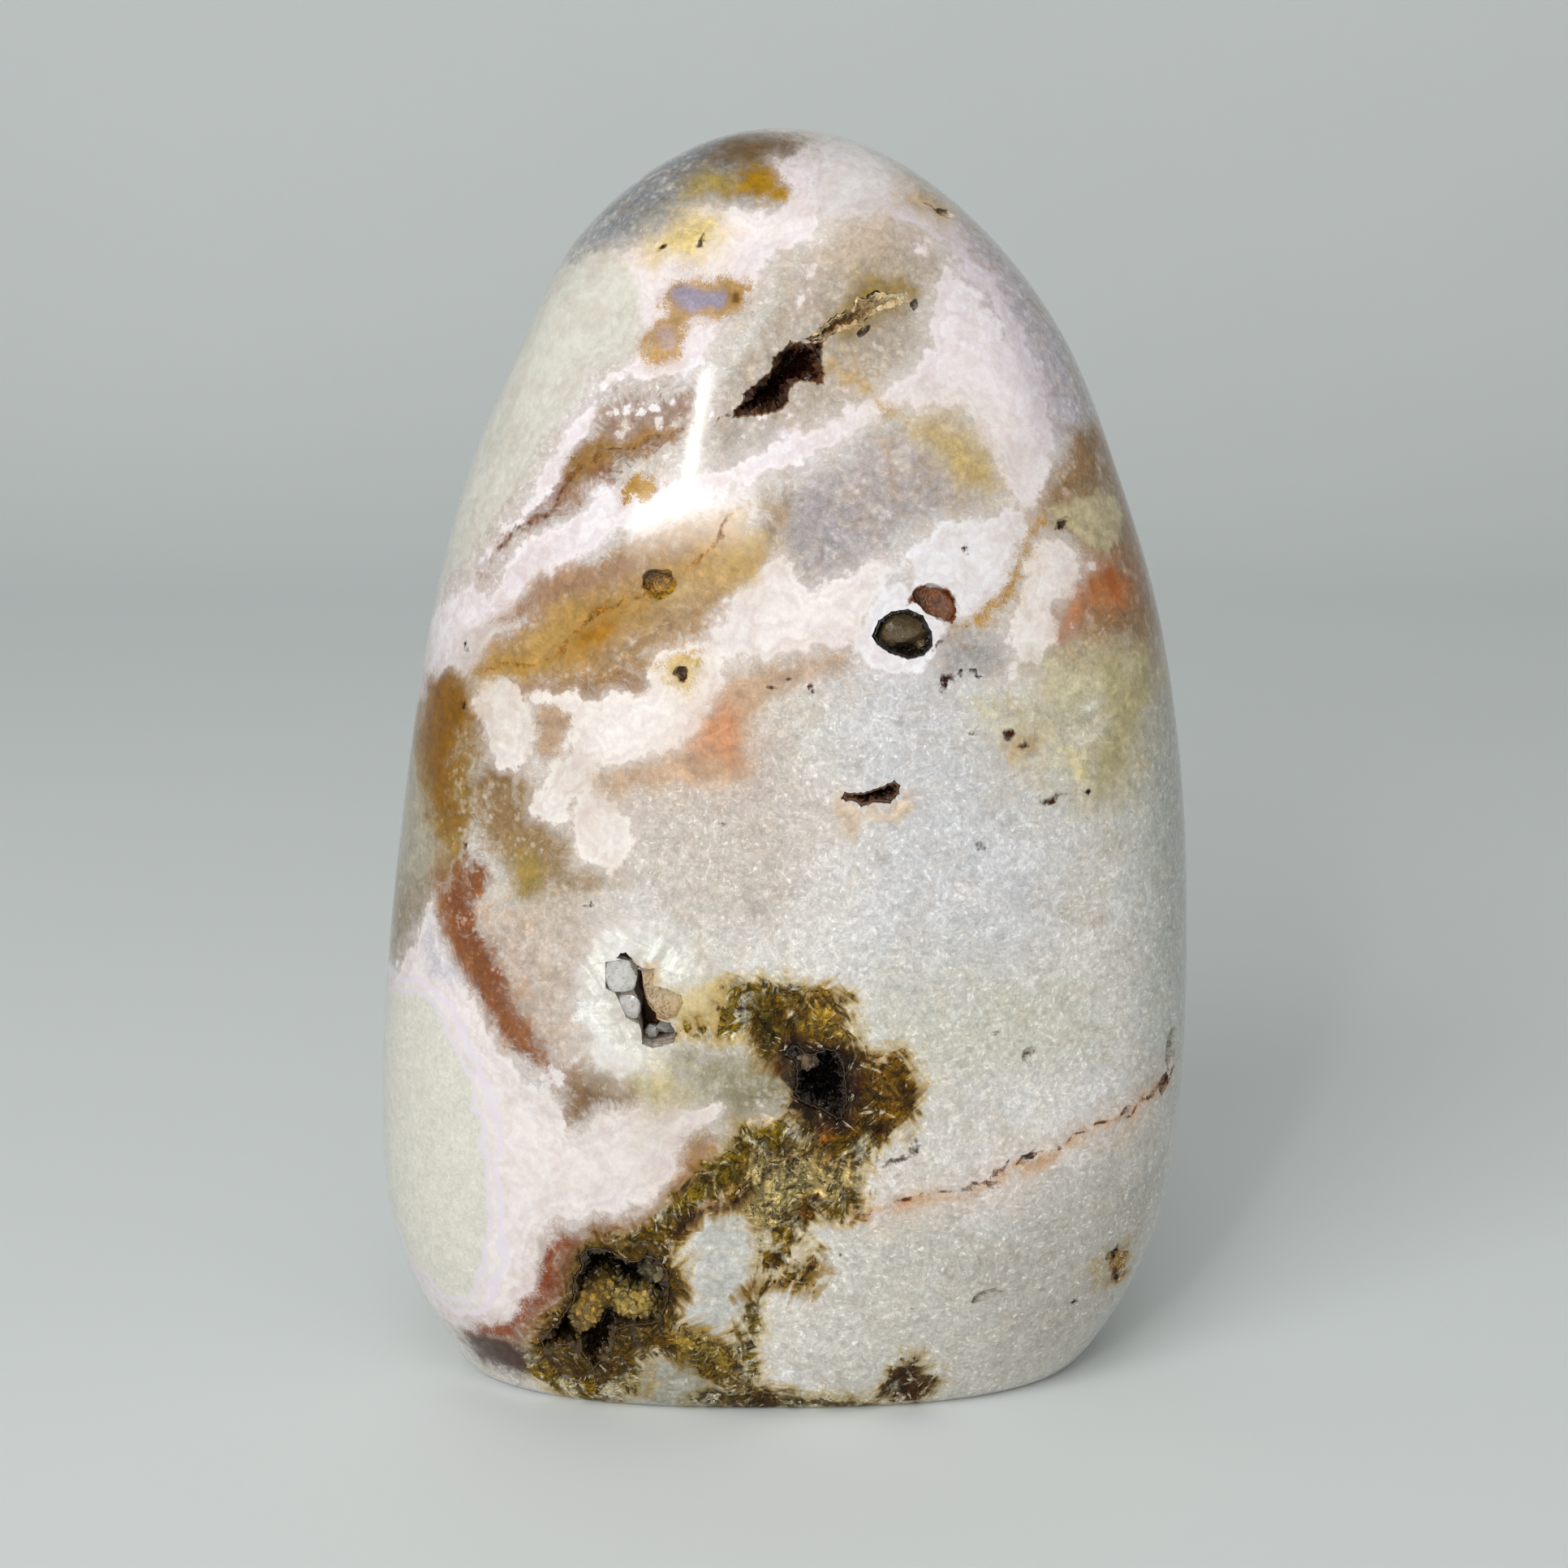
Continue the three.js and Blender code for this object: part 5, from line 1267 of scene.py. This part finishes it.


# Crystals in the hollows: tones at the mouth and at the floor, darkening with depth over 'turn' mm,
# partly the crystals' brown stain and partly painted shade, and crystals as (count, radius, length) in mm
crusts = {
    "upper": {
        "node": "upper_hollow_crust", "piece": "upperHollowCrystals", "slot": "druse", "seed": 11,
        "bowls": {
            "upper": {"crystals": (430, 0.5, 1.2), "mouth": (164, 132, 96), "floor": (50, 24, 9), "turn": 1.3},
            "trough": {"crystals": (150, 0.38, 0.7), "mouth": (188, 172, 138), "floor": (118, 90, 52), "turn": 1.3},
        },
    },
    "centre": {
        "node": "centre_hollow_crust", "piece": "centreHollowCrystals", "slot": "druse", "seed": 12,
        "bowls": {
            "centre": {"crystals": (160, 0.35, 0.7), "mouth": (120, 84, 58), "floor": (40, 22, 12), "turn": 1.2},
        },
    },
    "brown": {
        "node": "brown_hollow_crust", "piece": "brownHollowCrystals", "slot": "druse", "seed": 13,
        "bowls": {
            "brown": {"crystals": (420, 0.45, 1.0), "mouth": (62, 44, 20), "floor": (18, 11, 7), "turn": 1.4},
        },
        "lumps": [  # outline, how deep its top lies, how high it stands, tone
            ([(0.9, 35.6), (1.2, 36.8), (2.2, 36.6), (3, 35.8), (2.6, 34.9), (1.5, 34.8)], 0.6, 3, (98, 82, 66)),
            ([(4.2, 30.6), (5.6, 30.4), (5.4, 31.6), (4.4, 31.8)], 1.2, 3, (44, 34, 22)),
        ],
    },
    "lower": {
        "node": "lower_hollow_crust", "piece": "lowerHollowCrystals", "slot": "druse", "seed": 14,
        "bowls": {
            "lower": {"crystals": (520, 0.5, 1.1), "mouth": (78, 60, 28), "floor": (34, 22, 10), "turn": 2.6},
        },
        "lumps": [
            ([(-20.3, 11.2), (-19.1, 12.6), (-17.5, 14), (-16.2, 14.3), (-15.4, 12.9), (-15.6, 11),
              (-17, 10), (-18.3, 8.4), (-19.5, 7.9), (-20.2, 9)], 0.45, 5, (136, 108, 44)),
            ([(-16.4, 12.6), (-15.4, 13.4), (-13.8, 12.7), (-12.5, 13.1), (-11.5, 11.6), (-11.7, 10.2),
              (-13, 9.7), (-14.3, 9.9), (-15.8, 10.3)], 0.35, 5, (132, 112, 54)),
            ([(-13.4, 15.9), (-12, 16.4), (-10.8, 15), (-10.9, 13.4), (-12.2, 13.6), (-13.6, 14.4)],
             0.5, 5, (80, 72, 50)),
            ([(-20.9, 6.4), (-19.6, 6.9), (-18.8, 5.6), (-18.9, 4.6), (-20.4, 5.2)], 0.5, 4, (128, 112, 80)),
        ],
    },
    "grey": {
        "node": "grey_pocket_crust", "piece": "greyPocketCrystals", "slot": "druse", "seed": 15,
        "bowls": {
            "grey": {"crystals": (90, 0.4, 0.7), "mouth": (40, 32, 26), "floor": (24, 20, 16), "turn": 1},
        },
        "blocks": [  # centre on the face, depth of the top, half sizes, tone
            ((11, 75.1), 0.35, (2.1, 1.9, 1.8), (84, 72, 50)),
            ((9.3, 74.6), 0.9, (1.2, 1.5, 1.1), (58, 52, 40)),
            ((12.6, 73.7), 1.0, (0.8, 1.2, 0.8), (104, 88, 60)),
        ],
    },
    "clear": {
        "node": "clear_quartz_crust", "piece": "clearQuartzCrystals", "slot": "clear_quartz", "seed": 16,
        "blocks": [
            ((-14.9, 43.5), 0.1, (1.45, 1.05, 1.65), (240, 240, 236)),
            ((-14.25, 40.6), 0.15, (0.95, 0.95, 1.2), (240, 240, 236)),
        ],
        "points": [  # foot, depth below the face, direction, radius, length in mm
            ((-12.2, 44.1), 2.6, (-0.5, -1, 0.1), 0.55, 2.6),
            ((-10.4, 38.2), 3.6, (-0.5, -1, 0.2), 0.7, 3.0),
            ((-12.4, 37.5), 3.6, (0.2, -1, 0.4), 0.75, 2.8),
        ],
    },
}


# A six-sided crystal one unit long, with a six-faced tip
def quartzTemplate():
    bpy.ops.mesh.primitive_cone_add(
        vertices=6, radius1=1, radius2=0.88, depth=0.55, location=(0, 0, 0.275), end_fill_type="NGON"
    )
    crystal = bpy.context.object
    crystal.name = "quartzTemplate"
    bpy.ops.object.transform_apply(location=True)
    bpy.ops.object.mode_set(mode="EDIT")
    bpy.ops.mesh.select_mode(type="FACE")
    bpy.ops.mesh.select_all(action="DESELECT")
    form = bmesh.from_edit_mesh(crystal.data)
    for face in form.faces:
        face.select = face.normal.z > 0.9
    bmesh.update_edit_mesh(crystal.data)
    bpy.ops.mesh.extrude_region_move(TRANSFORM_OT_translate={"value": (0, 0, 0.45)})
    bpy.ops.transform.resize(value=(0.1, 0.16, 1), center_override=(0.1, 0.05, 1))
    bpy.ops.object.mode_set(mode="OBJECT")
    return crystal


def paint(piece, tones):
    field = piece.data.attributes.new("crystalTone", "FLOAT_COLOR", "POINT")
    values = np.concatenate([toLinear(np.clip(tones, 0, 255) / 255), np.ones((len(tones), 1))], 1)
    field.data.foreach_set("color", values.astype(np.float32).ravel())


def growCrystal(template, foot, direction, radius, length, spin, tone):
    crystal = template.copy()
    crystal.data = template.data.copy()
    bpy.context.collection.objects.link(crystal)
    aim = Vector(direction).normalized().to_track_quat("Z", "Y").to_matrix().to_4x4()
    size = Matrix.Diagonal((radius * mm, radius * mm, length * mm, 1))
    crystal.data.transform(Matrix.Translation(Vector(foot) * mm) @ aim @ Matrix.Rotation(spin, 4, "Z") @ size)
    paint(crystal, np.tile(np.array(tone, float), (len(crystal.data.vertices), 1)))
    return crystal


def sunkBelow(points):
    return points[:, 1] - faceAt(points[:, 0], np.clip(points[:, 2], 0.1, 119))


def facesOf(piece):
    return [(face.area, Vector(face.center) / mm, face.normal.copy()) for face in piece.data.polygons]


def coverWith(template, faces, crystals, depthShadedToneFor, chance):
    count, radius, length = crystals
    grown = []
    for area, foot, normal in chance.choices(faces, weights=[face[0] for face in faces], k=count):
        size = chance.uniform(0.5, 1.3)
        lean = Vector([chance.uniform(-0.45, 0.45) for axis in range(3)])
        tone = depthShadedToneFor(foot) * chance.uniform(0.7, 1.3)
        grown.append(growCrystal(
            template, foot - normal * 0.45 * length * size, normal + lean, radius * size,
            length * size, chance.uniform(0, 1), tone,
        ))
    return grown


# A bowl that follows the hollow's wall, open at the mouth and given a thickness
def liningOf(hollow, look, seed):
    rim = jaggedRim(hollow["rim"], hollow["jag"], inset=0.1)
    lining = bowlPiece("lining", rim, 0.25, hollow["depth"] - 0.25, hollow["floor"])
    bpy.ops.object.mode_set(mode="EDIT")
    bpy.ops.mesh.select_mode(type="FACE")
    bpy.ops.mesh.select_all(action="DESELECT")
    form = bmesh.from_edit_mesh(lining.data)
    caps = [face for face in form.faces if len(face.verts) > 4]
    min(caps, key=lambda face: face.calc_center_median().y).select = True
    bmesh.update_edit_mesh(lining.data)
    bpy.ops.mesh.delete(type="FACE")
    bpy.ops.object.mode_set(mode="OBJECT")
    at = readPoints(lining) / mm
    bumps = roughen(at, 1.4, seed)
    centre = at.mean(0)
    inward = centre - at
    inward /= np.maximum(np.linalg.norm(inward, axis=1), 1e-6)[:, None]
    deep = np.clip(sunkBelow(at) / 1.2, 0, 1)
    at = at + inward * (deep * (0.25 + 0.25 * bumps))[:, None]
    writePoints(lining, at * mm)
    # the lining is painted darker with depth: brown stain and painted shade
    paint(lining, depthShadedTones(look, sunkBelow(at)))
    return lining


# tone between mouth and floor by depth below the face: the crystals' brown with painted shade deeper down
def depthShadedTones(look, sink):
    share = np.clip(np.asarray(sink) / look["turn"], 0, 1)[..., None]
    return np.array(look["mouth"]) * (1 - share) + np.array(look["floor"]) * share


def thicken(piece, depth):
    activate(piece)
    wall = piece.modifiers.new("wall", "SOLIDIFY")
    wall.thickness = depth * mm
    wall.offset = -1
    bpy.ops.object.modifier_apply(modifier=wall.name)


# A rounded mass of small crystals that rises from the floor of a hollow
def makeLump(outline, top, height, seed):
    corners = smoothOutline(outline, 3)
    centre = corners.mean(0)
    face = float(faceAt(*centre))
    mesh = bpy.data.meshes.new("lump")
    mesh.from_pydata([(x * mm, (face + top + height) * mm, z * mm) for x, z in corners], [], [list(range(len(corners)))])
    lump = bpy.data.objects.new("lump", mesh)
    bpy.context.collection.objects.link(lump)
    activate(lump)
    bpy.ops.object.mode_set(mode="EDIT")
    bpy.ops.mesh.select_mode(type="FACE")
    bpy.ops.mesh.select_all(action="SELECT")
    past, scale = 0, 1
    for step in range(1, 8):
        rise = math.sin(math.pi / 2 * step / 7)
        narrower = max(math.sqrt(1 - 0.9 * rise**4), 0.3)
        bpy.ops.mesh.extrude_region_move(TRANSFORM_OT_translate={"value": (0, (past - rise) * height * mm, 0)})
        bpy.ops.transform.resize(
            value=(narrower / scale, 1, narrower / scale), center_override=(centre[0] * mm, 0, centre[1] * mm)
        )
        past, scale = rise, narrower
    bpy.ops.mesh.poke()
    bpy.ops.mesh.select_all(action="SELECT")
    bpy.ops.mesh.normals_make_consistent(inside=False)
    bpy.ops.object.mode_set(mode="OBJECT")
    at = readPoints(lump) / mm
    middle = np.array([centre[0], face + top + height * 0.7, centre[1]])
    away = at - middle
    away /= np.maximum(np.linalg.norm(away, axis=1), 1e-6)[:, None]
    writePoints(lump, (at + away * (0.22 * roughen(at, 1.5, seed))[:, None]) * mm)
    return lump


# A single crystal with flat faces: a ball cut by planes
def makeBlock(at, top, half, tone, seed):
    bpy.ops.mesh.primitive_ico_sphere_add(subdivisions=3, radius=1)
    block = bpy.context.object
    points = readPoints(block)
    chance = np.random.default_rng(seed)
    sides = chance.normal(size=(11, 3))
    sides = np.concatenate([sides / np.linalg.norm(sides, axis=1)[:, None], [(0.05, -1, 0.06)]])
    reach = chance.uniform(0.68, 0.94, len(sides))
    reach[-1] = 0.92
    lengths = np.min(reach / np.maximum(points @ sides.T, 0.05), axis=1)
    points = points * np.minimum(lengths, 1.25)[:, None] * np.array(half)
    x, z = at
    depth = float(faceAt(x, z)) + top + half[1] * 0.92
    writePoints(block, (points + np.array([x, depth, z])) * mm)
    activate(block)
    thin = block.modifiers.new("flatFaces", "DECIMATE")
    thin.decimate_type = "DISSOLVE"
    thin.angle_limit = math.radians(6)
    bpy.ops.object.modifier_apply(modifier=thin.name)
    paint(block, np.tile(np.array(tone, float), (len(block.data.vertices), 1)))
    return block


def keepBehindFace(piece, gap):
    at = readPoints(piece) / mm
    at[:, 1] += np.maximum(gap - sunkBelow(at), 0)
    writePoints(piece, at * mm)


def makeCrust(crust, template):
    chance = random.Random(crust["seed"])
    pieces = []
    for name, look in crust.get("bowls", {}).items():
        lining = liningOf(hollows[name], look, crust["seed"])
        middle = sum((Vector(point) for point in readPoints(lining) / mm), Vector()) / len(lining.data.vertices)
        faces = []
        for area, foot, normal in facesOf(lining):
            faces.append((area, foot, normal if normal.dot(middle - foot) > 0 else -normal))
        thicken(lining, 0.12)
        pieces.append(lining)
        # the crystals take the same depth-darkened tones, partly painted shade
        pieces += coverWith(
            template, faces, look["crystals"],
            lambda foot: depthShadedTones(look, foot.y - float(faceAt(foot.x, foot.z))), chance,
        )
    for outline, top, height, tone in crust.get("lumps", []):
        lump = makeLump(outline, top, height, crust["seed"] + len(pieces))
        face = float(faceAt(*np.mean(outline, 0)))
        # crystals on a lump are painted lighter near the face and darker deeper down, a painted shade over their own
        # gold or brown; the lump itself is painted 0.7 as dark
        depthShadedToneFor = lambda foot: np.array(tone) * min(max(1.25 - (foot.y - face) * 0.3, 0.2), 1.1)
        faces = [row for row in facesOf(lump) if row[2].y < 0.4]
        paint(lump, np.array([depthShadedToneFor(Vector(point)) for point in readPoints(lump) / mm]) * 0.7)
        pieces.append(lump)
        count = int(sum(row[0] for row in faces) / mm**2 * 4)
        pieces += coverWith(template, faces, (count, 0.42, 0.8), depthShadedToneFor, chance)
    for number, block in enumerate(crust.get("blocks", [])):
        pieces.append(makeBlock(*block, crust["seed"] * 10 + number))
    for (x, z), below, direction, radius, length in crust.get("points", []):
        foot = (x, float(faceAt(x, z)) + below, z)
        pieces.append(growCrystal(template, foot, direction, radius, length, chance.uniform(0, 1), (240, 240, 236)))
    piece = joinPieces(pieces, crust["piece"])
    keepBehindFace(piece, 0.06)
    return piece


def makeCrystalLook():
    look = bpy.data.materials.new("stainedQuartz")
    look.use_nodes = True
    tree = look.node_tree
    surface = tree.nodes["Principled BSDF"]
    place = placeInMm(tree)
    growth = useGroup(tree, growthGroup, {"Place": place})
    sugar = useGroup(tree, sugarGroup, {"Place": place, "Size": 0.4})
    tone = readField(tree, "crystalTone")["Color"]
    shade = ramp(tree, sugar["Shade"], 0.1, 0.9, 0.65, 1.3, "LINEAR")
    shadeTone = node(tree, "CombineColor", {0: shade, 1: shade, 2: shade}).outputs[0]
    base = blendTones(tree, 1.0, tone, shadeTone, "MULTIPLY")
    teeth = node(tree, "SeparateColor", {0: growth["Teeth"]}).outputs
    dust = ramp(tree, teeth["Green"], 0.5, 0.68)
    warmer = blendTones(tree, 1.0, base, colour(250, 220, 176), "MULTIPLY")
    base = blendTones(tree, dust, base, warmer)
    tree.links.new(base, surface.inputs["Base Color"])
    tree.links.new(ramp(tree, teeth["Red"], 0.35, 0.65, 0.12, 0.45, "LINEAR"), surface.inputs["Roughness"])
    surface.inputs["IOR"].default_value = 1.54
    bump = node(tree, "Bump", {"Height": sugar["Height"], "Distance": 0.06 * mm, "Strength": 0.5})
    tree.links.new(bump.outputs[0], surface.inputs["Normal"])
    return look


# Clear quartz with a faint veil and dark specks inside
def makeClearLook():
    look = bpy.data.materials.new("clearQuartz")
    look.use_nodes = True
    tree = look.node_tree
    surface = tree.nodes["Principled BSDF"]
    place = placeInMm(tree)
    growth = useGroup(tree, growthGroup, {"Place": place})
    teeth = node(tree, "SeparateColor", {0: growth["Teeth"]}).outputs
    tone = blendTones(tree, ramp(tree, teeth["Red"], 0.45, 0.62), colour(255, 255, 252), colour(232, 229, 220))
    specks = ramp(tree, teeth["Blue"], 0.58, 0.64)
    tone = blendTones(tree, calc(tree, "MULTIPLY", specks, 0.45), tone, colour(122, 116, 102))
    tree.links.new(tone, surface.inputs["Base Color"])
    tree.links.new(ramp(tree, teeth["Green"], 0.4, 0.65, 0.02, 0.25, "LINEAR"), surface.inputs["Roughness"])
    surface.inputs["IOR"].default_value = 1.54
    surface.inputs["Transmission Weight"].default_value = 0.6
    absorb = node(tree, "VolumeAbsorption", {"Color": colour(222, 220, 208), "Density": 25.0})
    tree.links.new(absorb.outputs[0], tree.nodes["Material Output"].inputs["Volume"])
    return look


quartz = quartzTemplate()
crystalLook, clearLook = makeCrystalLook(), makeClearLook()
for name, crust in crusts.items():
    piece = makeCrust(crust, quartz)
    piece.data.materials.clear()
    piece.data.materials.append(clearLook if name == "clear" else crystalLook)
    activate(piece)
    bpy.ops.object.shade_flat()
    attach(piece, "root")
    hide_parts(crust["node"])
    print(crust["piece"], "made:", len(piece.data.polygons), "faces")
bpy.data.objects.remove(quartz)


# camera, floor and light
camera = {
    "place": (0, -0.3239, 0.1202),
    "pitchDown": 11,
    "lens": 77.8,
}
bpy.ops.object.camera_add(
    location=camera["place"], rotation=(math.radians(90 - camera["pitchDown"]), 0, 0)
)
bpy.context.object.data.lens = camera["lens"]
bpy.context.object.data.clip_start = 0.01
bpy.context.scene.camera = bpy.context.object

studio = {
    "paper": (232, 238, 237),
    "world": (0.78, 0.77, 0.76),
    "worldStrength": 0.345,
    "sweepStart": 0.55,
    "sweepRadius": 0.35,
    "sweepHeight": 1.4,
    "halfWidth": 2.2,
}


def makeSweep():
    # A floor that turns up into a backdrop, extruded from its front edge.
    bpy.ops.mesh.primitive_plane_add(size=1)
    sweep = bpy.context.object
    sweep.name = "paperSweep"
    half = studio["halfWidth"]
    corners = [(-half, -half, 0), (half, -half, 0), (-half, studio["sweepStart"], 0), (half, studio["sweepStart"], 0)]
    for vertex, corner in zip(sweep.data.vertices, corners):
        vertex.co = corner
    bpy.ops.object.mode_set(mode="EDIT")
    bpy.ops.mesh.select_mode(type="EDGE")
    bpy.ops.mesh.select_all(action="DESELECT")
    form = bmesh.from_edit_mesh(sweep.data)
    for edge in form.edges:
        edge.select = all(vertex.co.y > 0.1 for vertex in edge.verts)
    bmesh.update_edit_mesh(sweep.data)
    past = Vector((0, 0))
    for step in range(1, 13):
        angle = math.pi / 2 * step / 12
        here = Vector((math.sin(angle), 1 - math.cos(angle))) * studio["sweepRadius"]
        move = here - past
        bpy.ops.mesh.extrude_region_move(TRANSFORM_OT_translate={"value": (0, move.x, move.y)})
        past = here
    bpy.ops.mesh.extrude_region_move(TRANSFORM_OT_translate={"value": (0, 0, studio["sweepHeight"])})
    bpy.ops.object.mode_set(mode="OBJECT")
    bpy.ops.object.shade_smooth()
    look = bpy.data.materials.new("palePaper")
    look.use_nodes = True
    tree = look.node_tree
    surface = tree.nodes["Principled BSDF"]
    cloud = node(tree, "TexNoise", {"Vector": node(tree, "TexCoord").outputs["Object"], "Scale": 6.0, "Detail": 4.0})
    tone = blendTones(tree, cloud.outputs[0], colour(*studio["paper"]), colour(*[v - 6 for v in studio["paper"]]))
    tree.links.new(tone, surface.inputs["Base Color"])
    surface.inputs["Roughness"].default_value = 0.8
    sweep.data.materials.append(look)


makeSweep()


def addLight(name, azimuth, elevation, distance, size, power, mirrored=True):
    a, e = math.radians(azimuth), math.radians(elevation)
    target = Vector((0, 0, 0.06))
    way = Vector((math.sin(a) * math.cos(e), -math.cos(a) * math.cos(e), math.sin(e)))
    bpy.ops.object.light_add(type="AREA", location=target + way * distance)
    light = bpy.context.object
    light.name = name
    light.data.shape = "RECTANGLE"
    light.data.size, light.data.size_y = size
    light.data.energy = power
    light.visible_glossy = mirrored
    light.rotation_euler = (-way).to_track_quat("-Z", "Y").to_euler()


addLight("keyBox", -30, 28, 1.1, (0.6, 0.6), 4.85, mirrored=False)
addLight("frontBox", -8, 4, 1.3, (0.7, 0.5), 3.75, mirrored=False)
addLight("topBox", 10, 70, 1.1, (0.6, 0.6), 0.7, mirrored=False)
addLight("windowBand", -15, 15, 1.2, (0.5, 0.07), 2.2)
addLight("windowStrip", -14.5, 23, 1.2, (0.045, 0.22), 1.35)
addLight("skyBox", -6, 62, 1.1, (0.35, 0.2), 0.7)
world = bpy.context.scene.world or bpy.data.worlds.new("studioAir")
bpy.context.scene.world = world
world.use_nodes = True
air = world.node_tree.nodes["Background"]
air.inputs["Color"].default_value = (*studio["world"], 1)
air.inputs["Strength"].default_value = studio["worldStrength"]
bpy.context.scene.view_settings.view_transform = "Standard"
print("camera and light placed")
